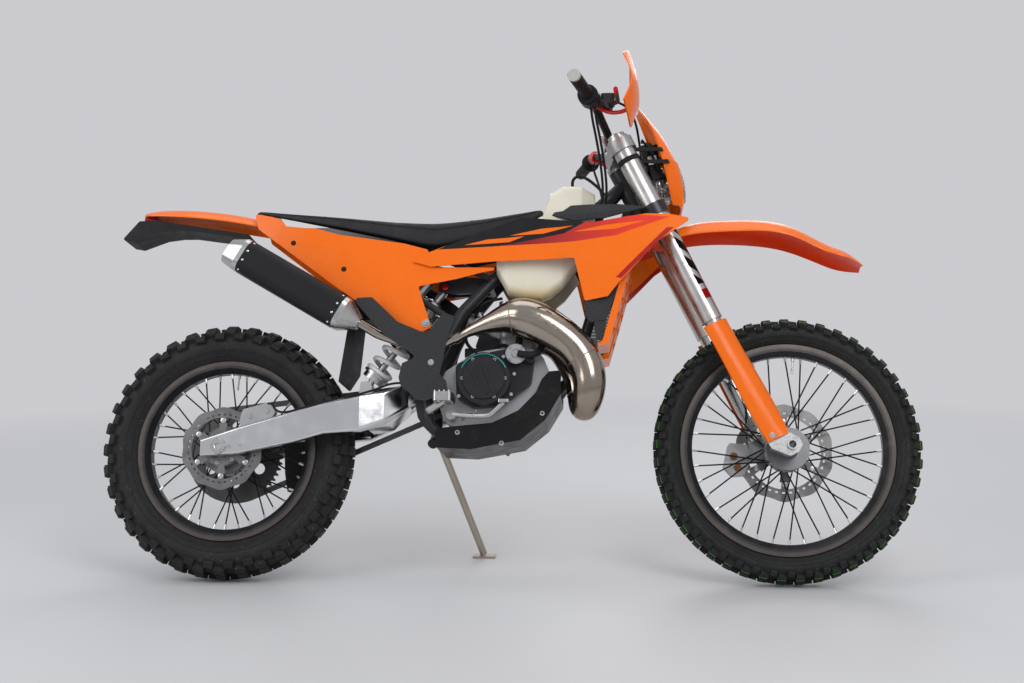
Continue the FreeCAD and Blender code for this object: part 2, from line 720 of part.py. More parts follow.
def frame_guards():
    """Moulded guards over the pivot plates."""
    outline = [(347, 732), (433, 635), (500, 590), (522, 575), (484, 558), (476, 520), (483, 497),
               (503, 483), (520, 462), (548, 459), (597, 478), (604, 492), (600, 512), (582, 530),
               (591, 568), (599, 616), (621, 683), (588, 692), (551, 640), (532, 642), (470, 668),
               (400, 735)]
    guard = side_plate(outline, -GUARD_Y, -GUARD_Y + 7, 8)
    middle = PIVOT_PLATE_Y + PIVOT_PLATE / 2
    bosses = [disc(558, 554, 9, -GUARD_Y + 2, -middle - SPAR_RADIUS - SEAT_GAP),
              disc(548, 472, 9, -GUARD_Y + 2, -middle - CRADLE_RADIUS - SEAT_GAP)]
    return both_sides(fuse([guard] + bosses))


# Engine

def engine_cases():
    """Crankcase halves with the gearbox behind the crank."""
    outline = [(572, 470), (590, 545), (668, 596), (726, CASE_TOP), (822, CASE_TOP), (850, 584), (868, 540), (838, 462),
               (776, 412), (650, 388), (592, 410)]
    cases = side_plate(outline, -CASE_HALF_WIDTH, CASE_HALF_WIDTH, 26)
    recess = side_plate([(540, 370), (665, 370), (665, 575), (540, 575)], 56, 100, 20)
    shaft = disc(COUNTERSHAFT_X, COUNTERSHAFT_Z, 12, 50, CHAIN_Y + 10)
    return fuse([cases.cut(recess), shaft])


def engine_covers():
    """Clutch cover and water pump on the right, ignition cover on the left."""
    outline = [(622, 560), (626, 470), (668, 446), (742, 450), (820, 510), (830, 580), (790, 606),
               (715, 592)]
    base = side_plate(outline, -118, -CASE_HALF_WIDTH - SEAT_GAP, 18)
    clutch = disc(CLUTCH_X, CLUTCH_Z, CLUTCH_RADIUS, -COVER_Y, -112)
    cap = disc(CLUTCH_X, CLUTCH_Z, CLUTCH_RADIUS - 14, -COVER_Y - 5, -COVER_Y + 2)
    pump = disc(781, 583, 27, -138, -112)
    spout = rod(vec(781, -126, 583), vec(826, -126, 566), 10)
    right = fuse([base, clutch, cap, pump, spout])
    ignition = disc(CRANK_X, CRANK_Z, 62, CASE_HALF_WIDTH + SEAT_GAP, 112)
    boss = disc(CRANK_X, CRANK_Z, 46, 105, 117)
    cover = side_plate([(576, 548), (576, 462), (604, 446), (655, 456), (668, 520), (640, 560)],
                       CHAIN_Y + 16, CHAIN_Y + 22, 14)
    return group([right, fuse([ignition, boss]), cover])


def cylinder():
    """Cylinder with its water jacket, head and spark plug."""
    base = box_tower(783, CASE_TOP + SEAT_GAP, 720, 104, 116, 20)
    head = box_tower(788, 720, 742, 120, 122, 24)
    dome = Part.makeCylinder(34, 14, vec(788, 0, 742), Z_AXIS)
    plug = Part.makeCylinder(11, 40, vec(788, 0, 752), Z_AXIS)
    port = rod(PORT - PORT_AXIS * 30, PORT, 26)
    intake = rod(INTAKE_START, INTAKE_START + INTAKE_AXIS * (THROTTLE_START - SEAT_GAP), 32)
    return fuse([base, head, dome, plug, port, intake])


def box_tower(x, z_from, z_to, length, width, corner):
    """A block with rounded upright corners."""
    outline = [(x - length / 2, -width / 2), (x + length / 2, -width / 2),
               (x + length / 2, width / 2), (x - length / 2, width / 2)]
    return top_plate(outline, z_from, z_to, corner)


def throttle_body():
    """Throttle body between the cylinder and the air box."""
    start = INTAKE_START + INTAKE_AXIS * THROTTLE_START
    end = INTAKE_START + INTAKE_AXIS * THROTTLE_END
    middle = (start + end) * 0.5
    return fuse([rod(start, end, 27), rod(middle - Y_AXIS * 46, middle + Y_AXIS * 46, 17),
                 rod(middle + INTAKE_AXIS * -10, middle + vec(-8, 0, 38), 12)])


INTAKE_START = vec(740, 0, 655)
INTAKE_AXIS = vec(-0.922, 0, 0.387).normalize()
PORT = vec(848, 0, 628)
PORT_AXIS = vec(0.942, 0, -0.336).normalize()


TAIL_RADIUS = 12.5
PIPE_PATH = (
    (848.3, 0, 627.9, 22), (861.5, 0, 623.2, 22), (885, -20, 602, 22), (911, -52, 560, 23), (933, -74, 515, 26),
    (941, -80, 486, 28), (949, -92, 458, 32), (957, -114, 446, 35), (966, -140, 458, 38),
    (972, -152, 486, 41), (970, -153, 530, 44), (936, -150, 595, 46), (881, -146, 640, 50),
    (829, -142, 669, 53), (787, -138, 680, 50), (748, -133, 676, 38), (706, -128, 664, 24),
    (662, -122, 648, 15), (625, -119, 630, TAIL_RADIUS - 0.5),
)
TAIL_PIPE = (vec(625, -119, 630), vec(585, -118, 612), vec(490, -117, 614), vec(417.8, -121, 637.7),
             vec(366, -121, 668))


def exhaust_pipe():
    """Expansion pipe: header, belly round the front of the engine, and the tail pipe."""
    places = [vec(x, y, z) for x, y, z, radius in PIPE_PATH]
    across = Y_AXIS
    hoops = []
    for index, place in enumerate(places):
        after = places[min(index + 1, len(places) - 1)]
        before = places[max(index - 1, 0)]
        axis = (after - before).normalize()
        across = (across - axis * across.dot(axis)).normalize()
        hoops.append(hoop(place, axis, across, PIPE_PATH[index][3]))
    tail = bent_rod(list(TAIL_PIPE), TAIL_RADIUS, 90)
    weld = rod(places[-1] - axis * 7, places[-1] + axis * 9, TAIL_RADIUS + 2.5)
    return loft(hoops).multiFuse([weld, tail])


SILENCER_FRONT = vec(317, -140, 693)
SILENCER_AXIS = vec(-0.863, 0, 0.505).normalize()
SILENCER_UP = vec(0.505, 0, 0.863).normalize()
SILENCER_LENGTH = 300.0
SILENCER_HEIGHT = 93.0
SILENCER_WIDTH = 84.0


def silencer():
    """Silencer can."""
    ends = [SILENCER_FRONT, SILENCER_FRONT + SILENCER_AXIS * SILENCER_LENGTH]
    return loft([cross_section(end, SILENCER_UP, SILENCER_WIDTH, SILENCER_HEIGHT, 30) for end in ends])


def silencer_caps():
    """Front cone and rear cap of the silencer."""
    front = SILENCER_FRONT - SILENCER_AXIS * SEAT_GAP
    rear = SILENCER_FRONT + SILENCER_AXIS * (SILENCER_LENGTH + SEAT_GAP)
    inlet = TAIL_PIPE[-1] + SILENCER_AXIS * SEAT_GAP
    cone = loft([cross_section(front, SILENCER_UP, SILENCER_WIDTH, SILENCER_HEIGHT, 30),
                 cross_section(front - SILENCER_AXIS * 12, SILENCER_UP, SILENCER_WIDTH - 3, SILENCER_HEIGHT - 3, 30),
                 cross_section(inlet, SILENCER_UP, 36, 36, 16)], True)
    tail = rear + SILENCER_AXIS * 48 - SILENCER_UP * 8
    cap = loft([cross_section(rear, SILENCER_UP, SILENCER_WIDTH, SILENCER_HEIGHT, 30),
                cross_section(rear + SILENCER_AXIS * 12, SILENCER_UP, SILENCER_WIDTH, SILENCER_HEIGHT, 30),
                cross_section(tail, SILENCER_UP, SILENCER_WIDTH - 18, SILENCER_HEIGHT - 24, 24)], True)
    outlet = rod(tail + SILENCER_AXIS, tail - SILENCER_AXIS * 20, 16)
    return group([cone, cap.cut(outlet)])


# Tank, seat and bodywork

def fuel_tank():
    """Tank that straddles the frame's spars, with its cap."""
    stations = (
        (724, 96, 808, 905), (756, 105, 752, 926), (800, 109, 738, 946), (846, 110, 734, 968),
        (866, 109, 742, 1030), (900, 106, 770, 1050), (950, 94, 834, 1052), (985, 74, 905, 1036),
    )
    wires = [box_section(x, 0, (low + high) / 2, 2 * half, high - low, 26) for x, half, low, high in stations]
    body = loft(wires, True)
    tunnel = side_plate([(690, 690), (690, 838), (765, 874), (945, 988), (985, 1026), (1010, 1046), (1010, 690)],
                        -72, 72, 6)
    cap = Part.makeCylinder(34, 18, vec(920, 0, 1048), Z_AXIS)
    return fuse([body.cut(tunnel), cap])


SEAT_STATIONS = (
    (52, 60, 1000, 993), (150, 78, 994, 968), (302, 90, 982, 938), (448, 96, 968, 905), (560, 94, 965, 880),
    (678, 84, 977, 914), (790, 66, 996, 952), (846, 52, 1006, 984),
)


def seat():
    """Seat with a flat base and a crowned top."""
    wires = []
    for x, half, top, base in SEAT_STATIONS:
        shoulder = base + (top - base) * 0.62
        crown = Part.Arc(vec(x, -half * 0.8, shoulder + 2), vec(x, 0, top), vec(x, half * 0.8, shoulder + 2))
        wires.append(Part.Wire([
            Part.LineSegment(vec(x, half * 0.8, shoulder + 2), vec(x, half, base)).toShape(),
            Part.LineSegment(vec(x, half, base), vec(x, -half, base)).toShape(),
            Part.LineSegment(vec(x, -half, base), vec(x, -half * 0.8, shoulder + 2)).toShape(),
            crown.toShape(),
        ]))
    return loft(wires)


def side_panel():
    """Right side panel, from the tail down to its point behind the frame guard."""
    heights = (560, 720, 860, 1040)
    stations = (
        (40, (-60, -66, -74, -70)), (200, (-84, -90, -94, -84)), (350, (-100, -104, -103, -86)),
        (500, (-117, -116, -108, -92)), (620, (-124, -120, -112, -100)), (760, (-126, -122, -114, -104)),
    )
    outline = [(60, 984), (302, 930), (448, 898), (540, 872), (560, 822), (722, 819), (717, 812),
               (681, 805), (620, 789), (518, 770), (556, 658), (528, 644), (422, 695), (350, 734),
               (295, 773), (196, 847), (72, 940)]
    return side_skin(stations, heights, PANEL_THICKNESS).common(side_plate(outline, -140, -40, 6))


def shroud():
    """Right radiator shroud."""
    heights = (560, 700, 840, 980)
    stations = (
        (470, (-113, -114, -114, -110)), (620, (-126, -126, -124, -118)), (760, (-132, -134, -134, -126)),
        (900, (-144, -152, -154, -140)), (1020, (-160, -176, -179, -164)), (1140, (-174, -190, -194, -180)),
        (1250, (-182, -194, -198, -188)),
    )
    outline = [(490, 840), (568, 870), (793, 953), (983, 928), (1060, 938), (1121, 945), (1179, 942),
               (1237, 929), (1150, 869), (1051, 765), (1020, 727), (960, 717), (932, 834), (725, 833),
               (552, 822)]
    return side_skin(stations, heights, PANEL_THICKNESS).common(side_plate(outline, -230, -80, 6))


RADIATOR_FOOT = vec(990, 0, 615)
RADIATOR_TOP = vec(1056, 0, 850)
RADIATOR_DEPTH = 32.0


def radiator():
    """Right radiator, parallel to the down tube."""
    rise = RADIATOR_TOP - RADIATOR_FOOT
    ahead = vec(rise.z, 0, -rise.x).normalize() * (RADIATOR_DEPTH / 2)
    corners = [RADIATOR_FOOT - ahead, RADIATOR_TOP - ahead, RADIATOR_TOP + ahead, RADIATOR_FOOT + ahead]
    return side_plate([(p.x, p.z) for p in corners], -158, -48, 5)


def radiator_louvres():
    """Guard with slats in front of the right radiator, closed below."""
    outline = [(1073, 850), (1085, 836), (1060, 740), (1022, 604), (985, 598), (1006, 612), (1038, 725)]
    body = side_plate(outline, -168, -46, 3)
    slots = []
    for index in range(5):
        low = 640 + 40 * index
        slots.append(side_plate([(1000, low), (1130, low + 8), (1130, low + 30), (1000, low + 22)], -150, -64, 3))
    return body.cut(Part.makeCompound(slots))


def rear_fender():
    """Rear fender from under the seat to the tail."""
    stations = ((-256, 1006, 46, 14), (-220, 1011, 58, 22), (-94, 1009, 66, 30), (44, 988, 59, 28),
                (104, 971, 53, 24), (220, 943, 55, 22), (330, 914, 58, 22))
    return loft([arch_section(vec(x, 0, z), Z_AXIS, half, drop, FENDER_THICKNESS)
                 for x, z, half, drop in stations])


def plate_holder():
    """Under-tail with the plate's carrier."""
    outline = [(-316, 921), (-271, 974), (-216, 977), (-150, 964), (40, 934), (40, 918), (-31, 932),
               (-130, 946), (-170, 946), (-215, 940), (-282, 915)]
    return side_plate(outline, -48, 48, 5)


def tail_lamp():
    """Tail lamp in the end of the fender."""
    return side_plate([(-262, 978), (-260, 994), (-228, 995), (-222, 978)], -32, 32, 4)


def front_fender():
    """Front fender from the lower clamp to its tip."""
    stations = ((1132, 936, 58, 18), (1205, 950, 62, 34), (1260, 966, 66, 40), (1345, 972, 70, 42),
                (1425, 970, 80, 42), (1500, 955, 82, 40), (1600, 904, 70, 32), (1696, 848, 34, 8))
    return loft([arch_section(vec(x, 0, z), Z_AXIS, half, drop, FENDER_THICKNESS)
                 for x, z, half, drop in stations])


def skid_plate():
    """Moulded plate under the engine, open above and behind."""
    wall = 4.0
    outer = [(572, 340), (664, 336), (793, 360), (857, 412), (896, 477), (898, 543), (866, 540),
             (848, 520), (833, 485), (788, 438), (719, 405), (612, 395), (572, 390)]
    inner = [(540, 341 + wall), (664, 336 + wall), (790, 360 + wall), (853, 414), (892, 479), (893, 580),
             (780, 580), (540, 480)]
    notch = Part.makeBox(80, 204, 100, vec(850, -102, 482))
    inside = side_plate(inner, -118 + wall, 118 - wall, 8)
    return side_plate(outer, -118, 118, 8).cut(Part.makeCompound([inside])).cut(notch)


def air_box():
    """Air box behind the shock absorber with the mud flap below it and the intake boot."""
    box = side_plate([(292, 800), (314, 882), (466, 866), (478, 830), (430, 740), (385, 690), (335, 690)],
                     -62, 62, 14)
    flap = side_plate([(329, 700), (304, 520), (312, 518), (338, 560), (350, 700)], -70, 70, 4)
    mouth = INTAKE_START + INTAKE_AXIS * (THROTTLE_END + SEAT_GAP)
    boot = bent_rod([mouth, mouth + INTAKE_AXIS * 30, vec(585, 45, 738), vec(520, 50, 785), vec(440, 40, 845)],
                    22, 60)
    return fuse([box, flap, boot])


# Front end, modelled with Z up the steering axis and X ahead of it

def triple_clamps():
    """Lower and upper fork clamps, the stem and the handlebar's clamps."""
    parts = [rod(vec(0, 0, LOWER_CLAMP_Z), vec(0, 0, UPPER_CLAMP_Z + CLAMP_HEIGHT + 6), STEM_RADIUS)]
    parts.append(rod(vec(0, 0, UPPER_CLAMP_Z + CLAMP_HEIGHT), vec(0, 0, UPPER_CLAMP_Z + CLAMP_HEIGHT + 8), 20))
    for low in (LOWER_CLAMP_Z, UPPER_CLAMP_Z):
        outline = [(-21, -21), (-21, 21), (-6, FORK_SPREAD), (30, FORK_SPREAD), (34, 40), (34, -40),
                   (30, -FORK_SPREAD), (-6, -FORK_SPREAD)]
        parts.append(top_plate(outline, low, low + CLAMP_HEIGHT, 10))
        for side in (-1, 1):
            spot = vec(FORK_OFFSET, side * FORK_SPREAD, low)
            parts.append(Part.makeCylinder(FORK_TUBE_RADIUS + 7, CLAMP_HEIGHT, spot, Z_AXIS))
    for side in (-1, 1):
        parts.append(Part.makeBox(30, 26, BAR_ALONG + BAR_RADIUS + 8 - UPPER_CLAMP_Z - CLAMP_HEIGHT,
                                  vec(BAR_AHEAD - 15, side * 45 - 13, UPPER_CLAMP_Z + CLAMP_HEIGHT)))
    body = fuse(parts)
    cuts = []
    for side in (-1, 1):
        spot = vec(FORK_OFFSET, side * FORK_SPREAD, -200)
        cuts.append(Part.makeCylinder(FORK_TUBE_RADIUS + BEARING_GAP, 500, spot, Z_AXIS))
    cuts.append(rod(vec(BAR_AHEAD, -80, BAR_ALONG), vec(BAR_AHEAD, 80, BAR_ALONG), BAR_RADIUS + BEARING_GAP))
    return on_steering(body.cut(Part.makeCompound(cuts)))


def fork_tubes():
    """Upper fork tubes with their caps and lower collars."""
    low = vec(FORK_OFFSET, FORK_SPREAD, FORK_TUBE_END)
    high = vec(FORK_OFFSET, FORK_SPREAD, 128)
    leg = fuse([rod(low, high, FORK_TUBE_RADIUS), rod(high, high + vec(0, 0, 10), 24)])
    return on_steering(both_sides(leg))


def fork_foot_outline():
    """Side outline of the axle clamp at a slider's foot."""
    axle_x = FORK_OFFSET + AXLE_LEAD
    return [(FORK_OFFSET - 22, -AXLE_DROP + 50), (FORK_OFFSET + 24, -AXLE_DROP + 50),
            (axle_x + 12, -AXLE_DROP + 26), (axle_x + 24, -AXLE_DROP + 8), (axle_x + 24, -AXLE_DROP - 12),
            (axle_x + 6, -AXLE_DROP - 24), (axle_x - 18, -AXLE_DROP - 24), (FORK_OFFSET - 18, -AXLE_DROP + 14)]


def fork_sliders():
    """Lower fork legs with the feet that clamp the axle."""
    top = vec(FORK_OFFSET, FORK_SPREAD, FORK_TUBE_END - SEAT_GAP)
    foot_top = vec(FORK_OFFSET, FORK_SPREAD, -AXLE_DROP + 30)
    foot = side_plate(fork_foot_outline(), FORK_SPREAD - FOOT_HALF_WIDTH, FORK_SPREAD + FOOT_HALF_WIDTH, 9)
    leg = fuse([rod(top, foot_top, SLIDER_RADIUS), foot])
    axle = disc(FORK_OFFSET + AXLE_LEAD, -AXLE_DROP, FRONT_AXLE_RADIUS + BEARING_GAP, 0, 200)
    return on_steering(both_sides(leg.cut(axle)))


def fork_guards():
    """Moulded guards on the outside and front of the sliders."""
    lines = []
    for along, back, front, tuck in ((-438, -8, 58, 34), (-560, -4, 62, 34), (-650, -4, 66, 32), (-776, 2, 60, 6)):
        middle = (back + front) / 2
        outer = FORK_SPREAD + SLIDER_RADIUS + 8.5
        lines.append([vec(back, -outer + 3, along), vec(middle - 8, -outer, along),
                      vec(front - 16, -outer + tuck / 4, along),
                      vec(front, -outer + tuck, along)])
    foot_side = -FORK_SPREAD - FOOT_HALF_WIDTH - SEAT_GAP
    boss = rod(vec(44, -outer + 2, -767), vec(44, foot_side, -767), 6)
    guard = fuse([sheet(lines, vec(-2, 3.5, 0)), boss])
    return on_steering(both_sides(guard))


def headlight_mask():
    """Mask round the headlamp."""
    lines = []
    for z, front, half, side in ((1291, 1108, 34, 1100), (1250, 1140, 66, 1112), (1190, 1184, 92, 1120),
                                 (1125, 1216, 106, 1128), (1051, 1236, 92, 1152), (1003, 1230, 62, 1180)):
        shoulder = front - 0.34 * (front - side)
        lines.append([vec(side, -half, z), vec(shoulder, -0.78 * half, z), vec(front, 0, z),
                      vec(shoulder, 0.78 * half, z), vec(side, half, z)])
    mask = sheet(lines, vec(-4, 0, 0))
    window = headlamp_block(LAMP_HALF_WIDTH + 1, 1)
    return mask.cut(window)


def headlamp_block(half_width, margin):
    """A block of the lamp's outline seen from ahead."""
    points = [vec(1140, -half_width, LAMP_LOW - margin), vec(1140, half_width, LAMP_LOW - margin),
              vec(1140, half_width + 4, LAMP_HIGH + margin), vec(1140, -half_width - 4, LAMP_HIGH + margin)]
    return Part.Face(closed_wire(points, 16)).extrude(vec(110, 0, 0))


def headlamp():
    """Headlamp body with its lens flush in the mask."""
    block = headlamp_block(LAMP_HALF_WIDTH, 0)
    lines = []
    for z, front, half, side in ((1140, 1208, 100, 1122), (1051, 1232, 92, 1148), (1003, 1226, 62, 1176)):
        shoulder = front - 0.34 * (front - side)
        lines.append([vec(side, -half, z), vec(shoulder, -0.78 * half, z), vec(front, 0, z),
                      vec(shoulder, 0.78 * half, z), vec(side, half, z)])
    front_space = sheet(lines, vec(200, 0, 0))
    return block.cut(front_space)


def bar_points():
    """The handlebar's path from its right end to its left end."""
    centre = steering_point(BAR_AHEAD, 0, BAR_ALONG)
    half = []
    for back, side, up in ((0, 85, 0), (37, 215, 44), (85, BAR_HALF_WIDTH, 51)):
        half.append(centre + vec(-back, side, up))
    return [vec(p.x, -p.y, p.z) for p in half[::-1]] + half


def handlebar():
    """Bent handlebar."""
    return bent_rod(bar_points(), BAR_RADIUS, 60)


def bar_spot(side):
    """A point in the straight outer part of the handlebar, left side."""
    start, end = bar_points()[-2:]
    return start + (end - start) * ((side - start.y) / (end.y - start.y))


def grips():
    """Rubber grips with inner flanges."""
    inner = bar_spot(280)
    axis = (bar_spot(400) - inner).normalize()
    outer = bar_spot(BAR_HALF_WIDTH) + axis * 3
    grip = fuse([rod(inner, outer, 16.5), rod(inner, inner + axis * 4, 26)])
    core = rod(inner - axis, outer - axis * 2.7, BAR_RADIUS + BEARING_GAP)
    return both_sides(grip.cut(core))


def hand_controls():
    """Levers with their master cylinders, and the throttle's housing."""
    perch_in = bar_spot(222)
    axis = (bar_spot(400) - perch_in).normalize()
    core = rod(perch_in - axis * 20, perch_in + axis * 80, BAR_RADIUS + BEARING_GAP)
    clamp = rod(perch_in, perch_in + axis * 22, 18)
    reach = perch_in + axis * 11
    body = rod(reach + vec(12, 0, -4), reach + vec(52, 4, -10), 10)
    cylinder_body = rod(reach + vec(40, -34, -8), reach + vec(44, 16, -12), 13)
    tank = top_plate([(reach.x + 22, reach.y - 38), (reach.x + 58, reach.y - 38), (reach.x + 58, reach.y + 8),
                      (reach.x + 22, reach.y + 8)], reach.z - 4, reach.z + 20, 8)
    lever = bent_rod([reach + vec(44, 8, -14), reach + vec(66, 50, -20), reach + vec(60, 150, -24)], 6, 40)
    perch = fuse([clamp, body, cylinder_body, tank, lever]).cut(core)
    housing = rod(perch_in + axis * 26, perch_in + axis * 54, 27).cut(core)
    return group([perch, mirrored(perch), mirrored(housing)])


def hand_guards():
    """Guards ahead of the levers, on stays from the bar."""
    lines = []
    for y, back, low, high in ((240, 0, 1168, 1288), (290, 0, 1134, 1318), (335, 6, 1124, 1325),
                               (380, 22, 1132, 1318), (415, 52, 1152, 1300)):
        middle = (low + high) / 2
        lines.append([vec(1074 - back, y, low), vec(1096 - back, y, (low + middle) / 2), vec(1104 - back, y, middle),
                      vec(1096 - back, y, (high + middle) / 2), vec(1074 - back, y, high)])
    shell = sheet(lines, vec(-3.5, 0, 0))
    inner, outer = bar_points()[-3:-1]
    spot = inner + (outer - inner) * 0.55
    axis = (outer - inner).normalize()
    stay = bent_rod([spot + vec(12, 0, -4), spot + vec(36, 6, -28), vec(1058, 205, 1172), vec(1093, 262, 1170)],
                    6, 20)
    clamp = rod(spot - axis * 8, spot + axis * 8, 16)
    core = rod(spot - axis * 20, spot + axis * 20, BAR_RADIUS + BEARING_GAP)
    return both_sides(fuse([shell, stay, clamp]).cut(core))


def caliper(outline, y_from, y_to, disc_y, disc_radius, axle, bracket):
    """A caliper with a slot for its disc, and the bracket that carries it."""
    body = fuse([side_plate(outline, y_from, y_to, 8), bracket])
    gap = DISC_THICKNESS / 2 + DISC_GAP
    slot = disc(axle.x, axle.z, disc_radius + 4, disc_y - gap, disc_y + gap)
    return body.cut(slot)


def front_caliper():
    """Front brake caliper on the left fork foot."""
    x = FRONT_AXLE.x
    z = FRONT_AXLE.z
    outline = [(x - 162, z - 40), (x - 148, z + 24), (x - 100, z + 20), (x - 88, z - 16), (x - 108, z - 62),
               (x - 140, z - 64)]
    inner = FORK_SPREAD - SLIDER_RADIUS - SEAT_GAP
    bracket = side_plate([(x - 120, z - 30), (x - 120, z + 16), (x - 64, z + 40), (x - 34, z + 30),
                          (x - 40, z - 20)], inner - 8, inner, 6)
    return caliper(outline, 38, inner, FRONT_DISC_Y, FRONT_DISC_RADIUS, FRONT_AXLE, bracket)


def rear_caliper():
    """Rear brake caliper inside the right arm."""
    x = REAR_AXLE.x
    z = REAR_AXLE.z
    outline = [(x + 44, z + 62), (x + 54, z + 102), (x + 124, z + 122), (x + 142, z + 96), (x + 118, z + 52)]
    bracket = side_plate([(x + 50, z + 30), (x + 50, z + 80), (x + 120, z + 90), (x + 120, z + 40)],
                         -ARM_INNER_Y + SEAT_GAP, -ARM_INNER_Y + 7, 6)
    return caliper(outline, -ARM_INNER_Y + SEAT_GAP, -58, REAR_DISC_Y, REAR_DISC_RADIUS, REAR_AXLE, bracket)


def footpegs():
    """Footpegs with toothed platforms, on brackets from the frame."""
    seat = PIVOT_PLATE_Y + PIVOT_PLATE / 2 + CRADLE_RADIUS + SEAT_GAP
    platform = top_plate([(578, -228), (574, -152), (628, -152), (624, -228)], 447, 470, 7)
    hole = top_plate([(585, -221), (582, -160), (620, -160), (617, -221)], 440, 480, 4)
    bracket = bent_rod([vec(556, -seat, 436), vec(556, -seat - 16, 436), vec(600, -158, 457)], 11, 20)
    return both_sides(fuse([platform.cut(hole), bracket]))


def foot_controls():
    """Brake pedal on the right and gear lever on the left."""
    pedal = bent_rod([vec(618, -128, 426), vec(660, -140, 420), vec(715, -154, 418), vec(752, -154, 452)], 6.5, 30)
    pad = top_plate([(738, -168), (738, -140), (766, -140), (766, -168)], 452, 460, 4)
    eye = disc(614, 424, 13, -134, -CASE_HALF_WIDTH - 14)
    side = CASE_HALF_WIDTH + SEAT_GAP
    shaft = disc(700, 424, 8, side, 132)
    lever = bent_rod([vec(700, 127, 424), vec(750, 130, 430), vec(806, 134, 452)], 6, 60)
    toe = rod(vec(806, 122, 452), vec(806, 156, 452), 9)
    return group([fuse([pedal, pad, eye]), fuse([shaft, lever, toe])])


def side_stand():
    """Forged leg with its pivot eye and foot, reaching the floor when the bike leans."""
    up = vec(0, -math.sin(LEAN), math.cos(LEAN))
    foot = stand_foot()
    along = (foot - STAND_PIVOT).normalize()
    hinge = stand_axis()
    eye = rod(STAND_PIVOT - hinge * (STAND_EYE / 2), STAND_PIVOT + hinge * (STAND_EYE / 2), 17)
    leg = rod(STAND_PIVOT, foot + up * 9 - along * 1, STAND_RADIUS)
    sole = Part.makeBox(64, 40, 6, vec(-30, -20, 0))
    sole.rotate(CENTRE, X_AXIS, LEAN_DEG)
    sole.translate(foot)
    return fuse([eye, leg, sole])


def stand_foot():
    """Middle of the foot's sole, on the floor under the leaning bike."""
    drop = CROWN_HALF_WIDTH * math.sin(LEAN) - 1.0 * math.cos(LEAN)
    height = (STAND_FOOT_Y * math.sin(LEAN) - drop) / math.cos(LEAN)
    return vec(STAND_FOOT_X, STAND_FOOT_Y, height)


def stand_axis():
    """Hinge axis of the stand: square to the leg down and to the leg folded back."""
    down = (stand_foot() - STAND_PIVOT).normalize()
    folded = vec(*STAND_FOLDED).normalize()
    return down.cross(folded).normalize()


def build():
    """Every node of the bike, upright."""
    nodes = {}
    nodes["front_tyre"], nodes["front_rim"], nodes["front_hub"], nodes["front_disc"] = front_wheel()
    (nodes["rear_tyre"], nodes["rear_rim"], nodes["rear_hub"], nodes["rear_disc"],
     nodes["rear_sprocket"]) = rear_wheel()
    panel = side_panel()
    cowl = shroud()
    nodes["side_panel_right"] = panel
    nodes["side_panel_left"] = mirrored(panel)
    nodes["shroud_right"] = cowl
    nodes["shroud_left"] = mirrored(cowl)
    nodes["radiators"] = both_sides(radiator())
    nodes["radiator_louvres"] = both_sides(radiator_louvres())
    for make in (rear_axle, front_axle, swingarm, shock_absorber, shock_spring, drive_chain, main_frame,
                 pivot_bolt, subframe, frame_guards, engine_cases, engine_covers, cylinder, throttle_body,
                 exhaust_pipe, silencer, silencer_caps, fuel_tank, seat, rear_fender, plate_holder,
                 tail_lamp, front_fender, skid_plate, air_box, triple_clamps, fork_tubes, fork_sliders,
                 fork_guards, headlight_mask, headlamp, handlebar, grips, hand_controls, hand_guards,
                 front_caliper, rear_caliper, footpegs, foot_controls, side_stand):
        nodes[make.__name__] = make()
    return nodes


def lean(nodes):
    """Lean the bike onto its stand, with its origin in the middle of its footprint."""
    for shape in nodes.values():
        shape.rotate(CENTRE, X_AXIS, -LEAN_DEG)
    bounds = FreeCAD.BoundBox()
    for shape in nodes.values():
        bounds.add(shape.optimalBoundingBox(False, False))
    middle = bounds.Center
    for shape in nodes.values():
        shape.translate(vec(-middle.x, -middle.y, -bounds.ZMin))
    return bounds


def main():
    """Write each node."""
    os.makedirs("parts", exist_ok=True)
    nodes = build()
    lean(nodes)
    for name, shape in nodes.items():
        shape.exportStep("parts/" + name + ".step")


main()
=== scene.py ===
import json
import math
import bmesh
import bpy
from mathutils import Matrix, Vector
from mathutils.bvhtree import BVHTree


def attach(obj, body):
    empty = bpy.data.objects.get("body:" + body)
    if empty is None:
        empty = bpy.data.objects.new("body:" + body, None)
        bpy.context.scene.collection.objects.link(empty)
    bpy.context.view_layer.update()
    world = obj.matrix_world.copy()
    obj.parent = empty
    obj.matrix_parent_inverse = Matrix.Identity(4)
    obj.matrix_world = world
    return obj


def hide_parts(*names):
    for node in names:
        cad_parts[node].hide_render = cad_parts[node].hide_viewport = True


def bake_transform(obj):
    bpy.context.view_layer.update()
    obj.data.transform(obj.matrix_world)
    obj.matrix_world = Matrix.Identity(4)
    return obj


# Enduro dirt bike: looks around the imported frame.
# Pieces are drawn upright, in the bike's own millimetres: X forward from the rear axle, Y left, Z up.

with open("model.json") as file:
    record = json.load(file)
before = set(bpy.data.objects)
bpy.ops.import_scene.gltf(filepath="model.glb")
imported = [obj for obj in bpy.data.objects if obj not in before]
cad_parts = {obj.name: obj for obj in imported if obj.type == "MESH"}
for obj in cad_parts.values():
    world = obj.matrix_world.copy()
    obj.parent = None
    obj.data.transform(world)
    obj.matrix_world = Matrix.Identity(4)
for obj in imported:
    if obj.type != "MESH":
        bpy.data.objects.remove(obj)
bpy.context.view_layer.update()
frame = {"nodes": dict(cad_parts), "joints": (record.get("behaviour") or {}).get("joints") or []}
NODES = frame["nodes"]

